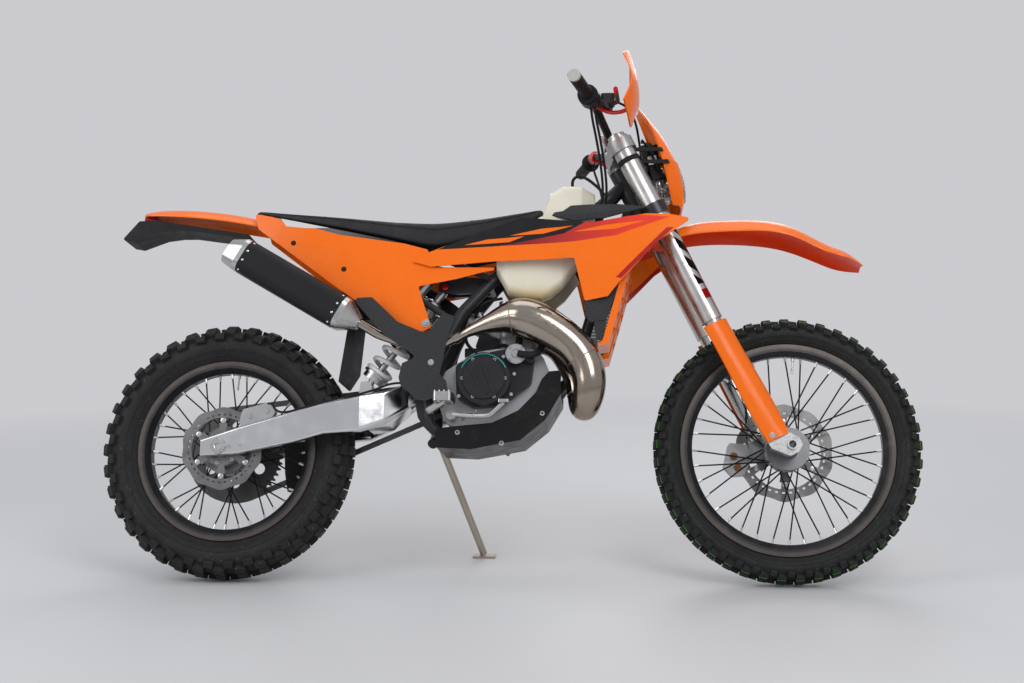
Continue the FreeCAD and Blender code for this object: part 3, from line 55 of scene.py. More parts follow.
# Placing the upright bike in the frame
MM = 0.001
LEAN = math.radians(15.0)
REAR_AXLE = Vector((0, 0, 342))
JOINT_AT = {joint["name"]: Vector(joint["pos_m"]) for joint in frame["joints"]}
TURN = Matrix.Rotation(-LEAN, 4, "X")
SHIFT = JOINT_AT["rear_wheel_spin"] - TURN @ (REAR_AXLE * MM)
TO_FRAME = Matrix.Translation(SHIFT) @ TURN @ Matrix.Scale(MM, 4)
FROM_FRAME = TO_FRAME.inverted()
RAKE = math.radians(26.1)
HEAD = Vector((1082.6, 0, 1050))
Y_AXIS = Vector((0, 1, 0))


def vec(x, y, z):
    """A point of the upright bike."""
    return Vector((x, y, z))


def steer(ahead, side, along):
    """A point given ahead of, beside and along the steering axis."""
    return HEAD + Vector((ahead * math.cos(RAKE) - along * math.sin(RAKE), side,
                          ahead * math.sin(RAKE) + along * math.cos(RAKE)))


def fork(side, along):
    """A point on the middle line of a fork tube."""
    return steer(22, side * 105, along)


FRONT_AXLE = steer(55.2, 0, -806.5)
UP_STEERING = (steer(0, 0, 1) - steer(0, 0, 0)).normalized()


# Materials: one graph for each finish

M = {}


class Graph:
    """The node graph of a material, or of the world if it is the owner."""

    def __init__(self, name, owner=None):
        self.name = name
        self.material = owner or bpy.data.materials.new(name)
        self.material.use_nodes = True
        self.nodes = self.material.node_tree.nodes
        self.links = self.material.node_tree.links
        self.shader = self.nodes.get("Principled BSDF")

    def node(self, kind, inputs=None, **settings):
        """A node with its settings and its inputs' values or links."""
        made = self.nodes.new(kind)
        for key, value in settings.items():
            setattr(made, key, value)
        for key, value in (inputs or {}).items():
            self.put(value, made.inputs[key])
        return made

    def put(self, value, socket):
        """Set a socket to a value, or link it."""
        if isinstance(value, bpy.types.NodeSocket):
            self.links.new(value, socket)
        elif socket.type == "RGBA":
            socket.default_value = (*value, 1.0)
        else:
            socket.default_value = value

    def set(self, name, value):
        """Set or link one of the shader's inputs."""
        self.put(value, self.shader.inputs[name])

    def math(self, operation, a, b=0.0):
        """A math node's result."""
        return self.node("ShaderNodeMath", {0: a, 1: b}, operation=operation).outputs[0]

    def plus(self, a, b):
        """A sum."""
        return self.math("ADD", a, b)

    def minus(self, a, b):
        """A difference."""
        return self.math("SUBTRACT", a, b)

    def times(self, a, b):
        """A product."""
        return self.math("MULTIPLY", a, b)

    def above(self, a, limit):
        """1 where a value is above a limit."""
        return self.math("GREATER_THAN", a, limit)

    def sine(self, a, factor):
        """The sine of a value times a factor."""
        return self.math("SINE", self.times(a, factor))

    def mix(self, share, a, b):
        """A mixed colour."""
        return self.node("ShaderNodeMix", {0: share, 6: a, 7: b}, data_type="RGBA").outputs[2]

    def place(self):
        """Coordinates on the piece at rest, in metres."""
        return self.node("ShaderNodeTexCoord").outputs["Object"]

    def bike(self):
        """X, Y and Z of the upright bike in millimetres."""
        offset = Matrix.Rotation(LEAN, 4, "X") @ (SHIFT * -1000)
        moved = self.node("ShaderNodeMapping", {"Vector": self.place(), "Location": offset,
                                                "Rotation": (LEAN, 0, 0), "Scale": (1000, 1000, 1000)})
        return self.node("ShaderNodeSeparateXYZ", {0: moved.outputs[0]}).outputs

    def noise(self, scale, detail=3.0, where=None, rough=0.5):
        """Noise from 0 to 1 at a scale in cycles a metre."""
        made = self.node("ShaderNodeTexNoise", {"Vector": where or self.place(), "Scale": scale,
                                                "Detail": detail, "Roughness": rough})
        return made.outputs["Fac"]

    def ramp(self, value, low, high, to_low=0.0, to_high=1.0):
        """A value carried from one range to another, held at its ends."""
        return self.node("ShaderNodeMapRange", {0: value, 1: low, 2: high, 3: to_low, 4: to_high}).outputs[0]

    def bump(self, height, strength, distance, below=None):
        """Bump from a height."""
        inputs = {"Strength": strength, "Distance": distance, "Height": height}
        if below is not None:
            inputs["Normal"] = below
        return self.node("ShaderNodeBump", inputs).outputs[0]

    def polygon(self, across, up, points):
        """1 inside a convex outline, given anticlockwise."""
        inside = None
        for (x0, z0), (x1, z1) in zip(points, points[1:] + points[:1]):
            normal = Vector((z0 - z1, x1 - x0)).normalized()
            edge = self.plus(self.times(across, normal.x), self.times(up, normal.y))
            side = self.above(edge, normal.x * x0 + normal.y * z0)
            inside = side if inside is None else self.times(inside, side)
        return inside

    def marks(self, paint, across, up, where, outlines):
        """Paint with coloured outlines laid over it in turn."""
        for shade, points in outlines:
            paint = self.mix(self.times(self.polygon(across, up, points), where), paint, shade)
        return paint

    def finish(self, base, rough, normal, metal=0.0, specular=0.5):
        """Keep the material: colour, roughness over a noise (scale, detail, low, high), bump and metal."""
        scale, detail, low, high = rough
        self.set("Base Color", base)
        self.set("Roughness", self.ramp(self.noise(scale, detail), 0.3, 0.7, low, high))
        self.set("Normal", normal)
        self.set("Metallic", metal)
        self.set("Specular IOR Level", specular)
        M[self.name] = self.material


def tint(base, factor):
    """A colour made darker or lighter."""
    return tuple(min(1.0, part * factor) for part in base)


def surface(key, base, rough, metal=0.0, coat=0.0, vary=0.12, grain=900, depth=0.15, stretch=None, dust=0.0,
            painter=None):
    """A finish: colour that varies a little, roughness that varies, fine grain and dust in places."""
    g = Graph(key)
    where = g.place()
    if stretch:
        where = g.node("ShaderNodeMapping", {"Vector": where, "Scale": stretch,
                                             "Rotation": (LEAN, 0, 0)}).outputs[0]
    paint = g.mix(g.noise(9.0, 4.0), tint(base, 1 - vary), tint(base, 1 + vary))
    if painter:
        paint = painter(g, paint)
    if dust:
        film = g.ramp(g.noise(23.0, 6.0, rough=0.7), 0.52, 0.78, 0.0, dust)
        paint = g.mix(film, paint, (0.35, 0.31, 0.26))
    g.set("Coat Weight", coat)
    g.set("Coat Roughness", 0.05)
    dull = 0.14 if max(base) < 0.06 else 0.28
    g.finish(paint, (31.0, 5.0, max(0.02, rough - 0.07), min(1.0, rough + 0.09)),
             g.bump(g.noise(grain, 2.0, where), depth, 0.0004), metal, 0.5 if metal > 0.5 else dull)


ORANGE = (0.96, 0.165, 0.002)
RED = (0.42, 0.012, 0.010)
BLACK = (0.010, 0.010, 0.011)
WINE = (0.10, 0.008, 0.025)


def bodywork_paint(g, paint):
    """Generic stripes: a wine to red flash, a black wedge, orange darts and a red edge."""
    x, y, z = g.bike()
    outside = g.above(g.math("ABSOLUTE", y), 60.0)
    flash = g.mix(g.ramp(x, 720, 1080), WINE, (0.80, 0.045, 0.020))
    return g.marks(paint, x, z, outside, (
        (flash, [(705, 874), (930, 878), (1040, 888), (1180, 934), (1060, 946), (960, 940), (800, 926),
                 (690, 894)]),
        (BLACK, [(560, 868), (730, 874), (905, 902), (960, 930), (793, 968), (640, 900)]),
        (ORANGE, [(640, 879), (760, 884), (800, 899), (700, 893)]),
        (ORANGE, [(760, 902), (850, 904), (930, 922), (845, 918)]),
        (ORANGE, [(930, 905), (1040, 906), (1120, 926), (1010, 918)]),
        (RED, [(1040, 775), (1054, 772), (1190, 905), (1172, 905)])))


def tail_paint(g, paint):
    """A dark band under the seat with a pale front part."""
    x, y, z = g.bike()
    outside = g.above(g.math("ABSOLUTE", y), 50.0)
    shade = g.mix(g.ramp(x, 300, 460), (0.13, 0.13, 0.135), BLACK)
    return g.marks(paint, x, z, outside, (
        (shade, [(150, 940), (300, 917), (470, 868), (580, 846), (580, 905), (440, 930), (300, 960),
                 (100, 985)]),
        ((0.66, 0.65, 0.64), [(150, 945), (205, 938), (330, 936), (270, 962), (130, 975)])))


def painted_underside_shade(g, paint):
    """Painted shade: a darker red-orange where the fender faces down."""
    facing = g.node("ShaderNodeTexCoord").outputs["Normal"]
    down = g.node("ShaderNodeSeparateXYZ", {0: facing}).outputs["Z"]
    return g.mix(g.ramp(down, -0.12, 0.10, 1.0, 0.0), paint, (0.85, 0.050, 0.003))


def steering_coordinates(g):
    """Distances ahead of the steering axis and along it, in millimetres."""
    x, y, z = g.bike()
    x = g.minus(x, HEAD.x)
    z = g.minus(z, HEAD.z)
    ahead = g.plus(g.times(x, math.cos(RAKE)), g.times(z, math.sin(RAKE)))
    return ahead, g.minus(g.times(z, math.cos(RAKE)), g.times(x, math.sin(RAKE)))


def fork_paint(g, paint):
    """A dark slanted decal and a red mark on the front of the fork tubes."""
    ahead, along = steering_coordinates(g)
    front = g.above(ahead, 30.0)
    slash = g.above(g.math("SINE", g.plus(g.times(along, 0.11), g.times(ahead, 0.16))), -0.35)
    paint = g.marks(paint, ahead, along, g.times(slash, front), (
        (BLACK, [(20, -330), (60, -330), (60, -150), (20, -150)]),))
    return g.marks(paint, ahead, along, front, ((RED, [(20, -372), (60, -372), (60, -345), (20, -345)]),))


def clamp_paint(g, paint):
    """Silver upper clamp over a dark lower one."""
    return g.mix(g.above(steering_coordinates(g)[1], 60.0), paint, (0.46, 0.45, 0.44))


def grip_paint(g, paint):
    """Pale ends on the grips."""
    return g.mix(g.above(g.math("ABSOLUTE", g.bike()[1]), 399.0), paint, (0.45, 0.44, 0.42))


def control_paint(g, paint):
    """Red lever ends and perch caps."""
    x, y, z = g.bike()
    out = g.math("ABSOLUTE", y)
    caps = g.times(g.above(z, 1256.0), g.math("LESS_THAN", out, 262.0))
    return g.mix(g.math("MAXIMUM", g.above(out, 352.0), caps), paint, (0.5, 0.014, 0.012))


def from_axle(g, axle):
    """Distance from a wheel's axle in millimetres."""
    x, y, z = g.bike()
    dx = g.minus(x, axle.x)
    dz = g.minus(z, axle.z)
    return g.math("SQRT", g.plus(g.times(dx, dx), g.times(dz, dz)))


def wheel_materials(wheel, axle, flange, edge):
    """Hub with black spokes beyond its flange, black rim with a paler painted highlight on its flange, and a
    ground disc.
    """
    def hub_paint(g, paint):
        return g.mix(g.above(from_axle(g, axle), flange), paint, (0.02, 0.02, 0.021))

    def rim_flange_highlight(g, paint):
        # Painted highlight: a paler band on the rim's outer edge, standing in for light on its flange.
        side = g.ramp(from_axle(g, axle), edge - 14, edge - 8)
        return g.mix(g.times(side, 0.5), paint, (0.16, 0.13, 0.11))

    surface(wheel + "_hub", (0.24, 0.24, 0.25), 0.38, metal=1.0, painter=hub_paint, dust=0.1)
    surface(wheel + "_rim", (0.035, 0.035, 0.037), 0.34, metal=0.6, painter=rim_flange_highlight, dust=0.12)
    g = Graph(wheel + "_disc")
    g.finish(g.mix(g.noise(40.0, 4.0), (0.17, 0.17, 0.175), (0.27, 0.26, 0.255)), (40.0, 4.0, 0.26, 0.38),
             g.bump(g.sine(from_axle(g, axle), 2.2), 0.05, 0.0002), 1.0)


def tyre_material(key, fleck, line=0.0):
    """Tyre rubber with coloured flecks on the lugs and fine mould lines."""
    g = Graph(key)
    base = g.mix(g.noise(16.0, 5.0), (0.011, 0.011, 0.012), (0.026, 0.026, 0.026))
    spots = g.ramp(g.noise(120.0, 6.0, rough=0.75), 0.61, 0.68)
    base = g.mix(g.times(spots, 0.55), base, fleck)
    if line:
        off = g.math("ABSOLUTE", g.minus(g.math("ABSOLUTE", g.bike()[1]), line))
        band = g.times(g.math("LESS_THAN", off, 1.1), g.above(from_axle(g, FRONT_AXLE), 330.0))
        base = g.mix(g.times(band, 0.8), base, fleck)
    g.finish(base, (60.0, 4.0, 0.5, 0.78), g.bump(g.noise(700.0, 3.0), 0.3, 0.0006), specular=0.25)


def pipe_material():
    """Nickelled pipe with heat tint towards the header."""
    g = Graph("pipe")
    heat = g.ramp(g.bike()[2], 440, 660, 0.85, 0.15)
    cloud = g.noise(14.0, 5.0)
    base = g.mix(cloud, (0.33, 0.28, 0.235), (0.50, 0.455, 0.40))
    base = g.mix(g.times(heat, cloud), base, (0.30, 0.21, 0.13))
    g.finish(base, (45.0, 4.0, 0.10, 0.24), g.bump(g.noise(300.0, 2.0), 0.05, 0.0004), 1.0)


def seat_material():
    """Seat cover with a small raised grip pattern and fine grain."""
    g = Graph("seat")
    dots = g.node("ShaderNodeTexVoronoi", {"Vector": g.place(), "Scale": 260.0}).outputs["Distance"]
    height = g.plus(g.ramp(dots, 0.15, 0.55, 1.0, 0.0), g.times(g.noise(1500.0, 2.0), 0.4))
    g.finish(g.mix(g.noise(12.0, 4.0), BLACK, (0.024, 0.024, 0.026)), (50.0, 4.0, 0.55, 0.75),
             g.bump(height, 0.6, 0.0008), specular=0.25)


def guard_material():
    """Moulded plastic with rows of shallow dimples."""
    g = Graph("guard")
    x, y, z = g.bike()
    wave = g.times(g.sine(g.plus(x, z), 0.55), g.sine(g.minus(x, z), 0.28))
    fine = g.bump(g.noise(1400.0, 2.0), 0.2, 0.0003)
    grey = (0.036, 0.037, 0.040)
    g.finish(g.mix(g.noise(10.0, 4.0), tint(grey, 0.85), tint(grey, 1.2)), (40.0, 4.0, 0.42, 0.6),
             g.bump(g.ramp(wave, 0.1, 0.9), 0.8, 0.002, fine), specular=0.22)


def tank_material():
    """Cream translucent plastic, amber at its low end."""
    g = Graph("tank")
    low = g.ramp(g.bike()[2], 738, 776, 1.0, 0.0)
    base = g.mix(g.noise(8.0, 4.0), (0.74, 0.70, 0.55), (0.80, 0.77, 0.65))
    g.set("Subsurface Weight", 0.25)
    g.set("Subsurface Radius", (0.03, 0.02, 0.01))
    g.finish(g.mix(g.times(low, 0.7), base, (0.74, 0.47, 0.10)), (30.0, 3.0, 0.32, 0.45),
             g.bump(g.noise(600.0, 2.0), 0.08, 0.0005))


def fins_material():
    """Radiator core: rows of fine fins between flat tubes, with painted shade in the grooves."""
    g = Graph("fins")
    x, y, z = g.bike()
    height = g.math("MAXIMUM", g.ramp(g.sine(z, 0.75), 0.5, 0.8), g.times(g.sine(y, 3.5), 0.4))
    # Painted shade: darker where the fins' bump is low, in the gaps between them.
    base = g.mix(g.ramp(height, 0.2, 0.9), (0.07, 0.07, 0.075), (0.36, 0.36, 0.37))
    g.finish(base, (40.0, 3.0, 0.35, 0.5), g.bump(height, 0.7, 0.002), 0.8)


def lens_material(key, base, weight):
    """Clear or tinted lamp plastic with faint ribs."""
    g = Graph(key)
    g.set("Transmission Weight", weight)
    g.finish(g.mix(g.noise(20.0, 3.0), tint(base, 0.92), tint(base, 1.05)), (60.0, 2.0, 0.02, 0.07),
             g.bump(g.sine(g.bike()[1], 1.2), 0.12, 0.0006))


for key, rough, coat, painter in (("bodywork", 0.26, 0.15, bodywork_paint), ("tail", 0.26, 0.15, tail_paint),
                                  ("orange", 0.27, 0.12, None), ("fender", 0.27, 0.12, painted_underside_shade)):
    surface(key, ORANGE, rough, coat=coat, vary=0.05, grain=500, depth=0.03, painter=painter)
surface("red_plastic", (0.62, 0.020, 0.008), 0.3, coat=0.2, grain=500, depth=0.03)
surface("black", (0.020, 0.020, 0.021), 0.55, grain=1300, depth=0.25, dust=0.04)
surface("gloss_black", BLACK, 0.36, coat=0.05, depth=0.05, dust=0.05)
surface("grey", (0.10, 0.10, 0.105), 0.5, grain=1300, depth=0.2)
surface("rubber", (0.018, 0.018, 0.019), 0.62, grain=700, depth=0.3)
surface("grips", (0.018, 0.018, 0.019), 0.62, grain=260, depth=0.6, painter=grip_paint)
surface("thread", (0.05, 0.05, 0.052), 0.6, grain=2500, depth=0.3)
surface("alloy", (0.56, 0.56, 0.57), 0.28, metal=1.0, grain=1200, depth=0.08)
surface("fork", (0.60, 0.58, 0.56), 0.30, metal=1.0, grain=500, depth=0.05, painter=fork_paint)
surface("polished", (0.74, 0.74, 0.75), 0.17, metal=1.0, vary=0.08, grain=60, depth=0.12,
        stretch=(0.25, 1.0, 1.6))
surface("brushed", (0.55, 0.54, 0.53), 0.26, metal=1.0, stretch=(0.1, 1.0, 1.0))
surface("cast", (0.40, 0.40, 0.41), 0.42, metal=0.9, grain=500, depth=0.3, dust=0.06)
surface("dark", (0.045, 0.045, 0.05), 0.38, metal=0.5, grain=600, depth=0.2)
surface("controls", (0.040, 0.040, 0.042), 0.38, metal=0.4, grain=600, depth=0.2, painter=control_paint)
surface("clamps", (0.05, 0.05, 0.055), 0.34, metal=0.85, grain=600, painter=clamp_paint)
surface("steel", (0.10, 0.10, 0.10), 0.34, metal=0.9, dust=0.1)
surface("bolt", (0.62, 0.61, 0.60), 0.25, metal=1.0, depth=0.05)
surface("nipple", (0.62, 0.61, 0.58), 0.34, metal=1.0, depth=0.05)
surface("mirror", (0.85, 0.85, 0.86), 0.08, metal=1.0, depth=0.02)
surface("weld", (0.30, 0.25, 0.20), 0.38, metal=1.0, grain=350, depth=0.5)
surface("champagne", (0.46, 0.40, 0.33), 0.34, metal=0.9, grain=500, dust=0.08)
surface("copper", (0.25, 0.10, 0.035), 0.45, metal=0.6, depth=0.1)
surface("pale", (0.45, 0.45, 0.44), 0.4, metal=0.6, depth=0.1)
surface("red", (0.55, 0.012, 0.012), 0.28, metal=0.7, depth=0.05)
surface("teal", (0.02, 0.30, 0.29), 0.3, metal=0.3, depth=0.05)
surface("can", (0.022, 0.022, 0.023), 0.48, metal=0.3, grain=1600, depth=0.2)
surface("cover", (0.030, 0.030, 0.032), 0.36, metal=0.2, grain=420, depth=0.5)
surface("frame", (0.030, 0.031, 0.034), 0.40, coat=0.15, grain=700, depth=0.12, dust=0.05)
surface("white", (0.72, 0.72, 0.71), 0.3, coat=0.3, grain=600, depth=0.05)
wheel_materials("front", FRONT_AXLE, 60, 278.5)
wheel_materials("rear", REAR_AXLE, 68, 241)
tyre_material("front_tyre", (0.06, 0.30, 0.03), 31.0)
tyre_material("rear_tyre", (0.26, 0.17, 0.08))
pipe_material()
seat_material()
guard_material()
tank_material()
fins_material()
lens_material("clear", (0.95, 0.96, 0.97), 0.95)
lens_material("red_lens", (0.5, 0.01, 0.01), 0.35)

# The nodes that wear each finish; any other finish is worn by the node of its own name, if there is one
WORN_BY = {
    "bodywork": "shroud_right shroud_left",
    "tail": "side_panel_right side_panel_left rear_fender",
    "fender": "front_fender",
    "orange": "headlight_mask hand_guards fork_guards radiator_louvres",
    "black": "plate_holder air_box",
    "controls": "hand_controls",
    "gloss_black": "skid_plate handlebar",
    "tank": "fuel_tank",
    "alloy": "rear_axle front_axle pivot_bolt shock_absorber",
    "fork": "fork_tubes",
    "polished": "swingarm",
    "brushed": "silencer_caps fork_sliders footpegs foot_controls",
    "cast": "engine_cases cylinder throttle_body front_caliper rear_caliper",
    "clamps": "triple_clamps",
    "steel": "drive_chain rear_sprocket",
    "pipe": "exhaust_pipe",
    "can": "silencer",
    "frame": "main_frame subframe",
    "white": "shock_spring",
    "guard": "frame_guards",
    "cover": "engine_covers",
    "champagne": "side_stand",
    "fins": "radiators",
    "clear": "headlamp",
    "red_lens": "tail_lamp",
}
for key, material in M.items():
    for name in WORN_BY.get(key, key).split():
        if name in NODES:
            NODES[name].data.materials.clear()
            NODES[name].data.materials.append(material)


# Drawing pieces

SIDES = (-1, 1)


def place_in_scene(name, data):
    """A new object of the scene."""
    made = bpy.data.objects.new(name, data)
    bpy.context.scene.collection.objects.link(made)
    return made


def ring(centre, across, up, radius, sides):
    """Points round a centre."""
    angles = (2 * math.pi * k / sides for k in range(sides))
    return [centre + (across * math.cos(a) + up * math.sin(a)) * radius for a in angles]


class Sketch:
    """Faces gathered in the upright bike's millimetres, made into one piece."""

    def __init__(self):
        self.points = []
        self.faces = []

    def add(self, points, faces):
        """Append points and faces."""
        base = len(self.points)
        self.points.extend(points)
        self.faces.extend([[base + i for i in face] for face in faces])

    def rings(self, rings, closed=False):
        """Skin equal rings of points in a row, with end faces unless the row is closed."""
        count = len(rings[0])
        faces = []
        for r in range(len(rings) if closed else len(rings) - 1):
            here, there = r * count, ((r + 1) % len(rings)) * count
            for i in range(count):
                j = (i + 1) % count
                faces.append([here + i, here + j, there + j, there + i])
        if not closed:
            faces.append(list(range(count))[::-1])
            faces.append([(len(rings) - 1) * count + i for i in range(count)])
        self.add([p for row in rings for p in row], faces)

    def spin(self, start, axis, profile, sides=24):
        """Turn (distance, radius) points about a line."""
        start, axis = Vector(start), Vector(axis).normalized()
        across = axis.orthogonal().normalized()
        up = axis.cross(across)
        self.rings([ring(start + axis * along, across, up, radius, sides) for along, radius in profile])

    def bolt(self, at, axis, radius=5.0, height=4.0):
        """A socket-head bolt with a chamfer and a recess."""
        self.spin(at - axis.normalized() * 2, axis,
                  [(0, radius), (height + 1.2, radius), (height + 2, radius * 0.86),
                   (height + 2, radius * 0.5), (height - 0.5, radius * 0.46)], 12)

    def block(self, centre, along, across, up, chamfer=1.0):
        """A box with a chamfered top; each direction has its half length."""
        centre, along, across, up = (Vector(part) for part in (centre, along, across, up))
        rings = []
        for level, inset in ((-1.0, 0.0), (1.0 - chamfer / max(up.length, 0.1), 0.0), (1.0, chamfer)):
            a = along * (1 - inset / max(along.length, 0.1))
            b = across * (1 - inset / max(across.length, 0.1))
            rings.append([centre + a * s + b * t + up * level
                          for s, t in ((-1, -1), (1, -1), (1, 1), (-1, 1))])
        self.rings(rings)

    def tube(self, line, radius, sides=8):
        """A round tube along given points."""
        across = (line[1] - line[0]).orthogonal().normalized()
        rings = []
        for index, place in enumerate(line):
            ahead = (line[min(index + 1, len(line) - 1)] - line[max(index - 1, 0)]).normalized()
            across = (across - ahead * across.dot(ahead)).normalized()
            up = ahead.cross(across)
            rings.append(ring(place, across, up, radius, sides))
        self.rings(rings)

    def hose(self, points, radius, sides=12):
        """A round tube along a rounded line."""
        self.tube(smooth_path(points), radius, sides)

    def plate(self, outline, depth):
        """A flat plate with a small bevel, from its outline and its thickness."""
        outline, depth = [Vector(p) for p in outline], Vector(depth)
        middle = sum(outline, Vector((0, 0, 0))) / len(outline)
        edge = depth.length * 0.35
        self.rings([[p + depth * level + (middle - p).normalized() * inset for p in outline]
                    for level, inset in ((0.0, 0.0), (0.65, 0.0), (1.0, edge))])

    def skin(self, rows, depth=(-4, 0, 0)):
        """A thin smooth sheet through rows of points, with its thickness."""
        fine = [smooth_path(row, 6) for row in rows]
        rings = []
        for index in range(len(fine[0])):
            column = smooth_path([row[index] for row in fine], 6)
            rings.append(column + [p + Vector(depth) for p in column[::-1]])
        self.rings(rings)

    def make(self, name, material, body="chassis", replaced=(), smooth=35.0, slot=None):
        """The finished piece, riding on its body."""
        if not self.points:
            return None
        mesh = bpy.data.meshes.new(name)
        mesh.from_pydata([tuple(TO_FRAME @ p) for p in self.points], [], self.faces)
        mesh.update()
        tidy = bmesh.new()
        tidy.from_mesh(mesh)
        bmesh.ops.recalc_face_normals(tidy, faces=tidy.faces)
        tidy.to_mesh(mesh)
        tidy.free()
        mesh.shade_smooth()
        mesh.set_sharp_from_angle(angle=math.radians(smooth))
        mesh.materials.append(M[material])
        piece = place_in_scene(name, mesh)
        if body:
            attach(piece, body)
        if replaced:
            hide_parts(*replaced)
        return piece


def smooth_path(points, steps=8):
    """Points along a rounded line through its control points, from a NURBS curve."""
    data = bpy.data.curves.new("path", "CURVE")
    data.dimensions = "3D"
    spline = data.splines.new("NURBS")
    spline.points.add(len(points) - 1)
    for slot, point in zip(spline.points, points):
        slot.co = (*point, 1.0)
    spline.order_u = 3
    spline.use_endpoint_u = True
    spline.resolution_u = steps
    holder = bpy.data.objects.new("path", data)
    mesh = bpy.data.meshes.new_from_object(holder)
    line = [v.co.copy() for v in mesh.vertices]
    bpy.data.objects.remove(holder)
    bpy.data.curves.remove(data)
    bpy.data.meshes.remove(mesh)
    return line


def turned(name, material, body, *shapes):
    """A piece made of shapes turned about lines."""
    sketch = Sketch()
    for shape in shapes:
        sketch.spin(*shape)
    sketch.make(name, material, body)


def boxes(name, material, body, *shapes):
    """A piece made of chamfered boxes."""
    sketch = Sketch()
    for shape in shapes:
        sketch.block(*shape)
    sketch.make(name, material, body)


# Wheels

ROUND = 96
SPOKES = 36
SPOKE_LEAN = 32.0


def round_axle(axle, reach, y, angle):
    """A point round an axle, its angle counted from the top."""
    return axle + vec(reach * math.sin(angle), y, reach * math.cos(angle))


def tyre(end, axle, radius, width, bead, rim_width, pitches, rows):
    """A knobbly tyre: a carcass with sidewall ribs and rows of lugs."""
    sketch = Sketch()
    middle = bead + (radius - bead) * 0.5
    wide = width / 2 - 7
    tall = radius - 14.0 - middle
    bead_half = rim_width / 2 - 5.5
    outline = [(-bead_half, bead + 1), (-bead_half, bead + 12.5)]
    for degree in range(-30, 211, 12):
        angle = math.radians(degree)
        outline.append((-wide * math.cos(angle), middle + tall * math.sin(angle)))
    outline += [(bead_half, bead + 12.5), (bead_half, bead + 1)]
    sketch.rings([[round_axle(axle, r, y, 2 * math.pi * k / ROUND) for y, r in outline]
                  for k in range(ROUND)], True)
    for side in SIDES:
        for share in (0.25, 0.5):
            r = bead + 14 + (middle - bead) * share
            sidewall_rib(sketch, axle, side * wide * math.sqrt(max(0.0, 1 - ((r - middle) / tall) ** 2)), r)
    for degree, length, across, height, phase, turn in rows:
        for index in range(pitches):
            for side in (SIDES if degree else (1,)):
                angle = 2 * math.pi * (index + phase + (0.5 if side < 0 and degree < 40 else 0.0)) / pitches
                tilt = math.radians(degree) * side
                out = vec(math.sin(angle), 0, math.cos(angle))
                round_way = vec(math.cos(angle), 0, -math.sin(angle))
                normal = (out * (math.cos(tilt) / tall) + Y_AXIS * (math.sin(tilt) / wide)).normalized()
                swing = Matrix.Rotation(math.radians(turn) * side, 3, normal)
                centre = (axle + out * (middle + tall * math.cos(tilt)) + Y_AXIS * (wide * math.sin(tilt))
                          + normal * (height / 2 - 1))
                sideways = round_way.cross(normal).normalized()
                sketch.block(centre, swing @ round_way * (length / 2), swing @ sideways * (across / 2),
                             normal * (height / 2 + 1), 1.3)
    sketch.make(end + "_tyre_knobs", end + "_tyre", end + "_wheel", (end + "_tyre",), 30.0)


def sidewall_rib(sketch, axle, y, reach):
    """A thin raised ring round a wheel's side."""
    rings = []
    for k in range(ROUND):
        a = 2 * math.pi * k / ROUND
        out = vec(math.sin(a), 0, math.cos(a))
        centre = axle + out * reach + Y_AXIS * y
        rings.append([centre + out * 1.6 * math.cos(b) + Y_AXIS * 1.6 * math.sin(b)
                      for b in (2 * math.pi * m / 6 for m in range(6))])
    sketch.rings(rings, True)


# Radius, width, bead, rim width, lugs round the tyre, and rows of lugs: degrees from the tread's middle,
# length, width, height, phase and turn
tyre("front", FRONT_AXLE, 350, 90, 266.5, 48, 45,
     ((0, 23, 23, 13.5, 0.0, 0), (21, 21, 15, 13, 0.5, 8), (44, 22, 15, 12.5, 0.0, 12),
      (66, 18, 13, 12, 0.5, 6)))
tyre("rear", REAR_AXLE, 342, 118, 229, 62, 36,
     ((0, 27, 31, 13.5, 0.0, 0), (22, 25, 21, 13.5, 0.5, 6), (45, 28, 21, 13, 0.0, 10),
      (67, 26, 18, 12, 0.5, 5)))


def nipples(end, axle, flange_radius, flange_y, rim_radius, rim_y):
    """Spoke nipples at the rim, and the valve."""
    sketch = Sketch()
    for index in range(SPOKES):
        side = 1 if index % 2 else -1
        a = math.radians(index * 360 / SPOKES)
        b = a + math.radians(SPOKE_LEAN if index % 4 < 2 else -SPOKE_LEAN)
        tip = round_axle(axle, rim_radius, side * rim_y, a)
        way = (tip - round_axle(axle, flange_radius, side * flange_y, b)).normalized()
        sketch.spin(tip - way * 14, way, [(0, 2.4), (2, 3.3), (12, 3.3), (14, 4.2), (17, 4.2)], 8)
    valve = round_axle(axle, rim_radius, 0, 0.09)
    sketch.spin(valve, axle - valve, [(0, 4), (10, 4), (11, 2.6), (34, 2.6), (35, 3.4), (42, 3.4)], 10)
    sketch.make(end + "_nipples", "nipple", end + "_wheel")


nipples("front", FRONT_AXLE, 50, 26, 247.5, 5)
nipples("rear", REAR_AXLE, 58, 31, 210, 8)


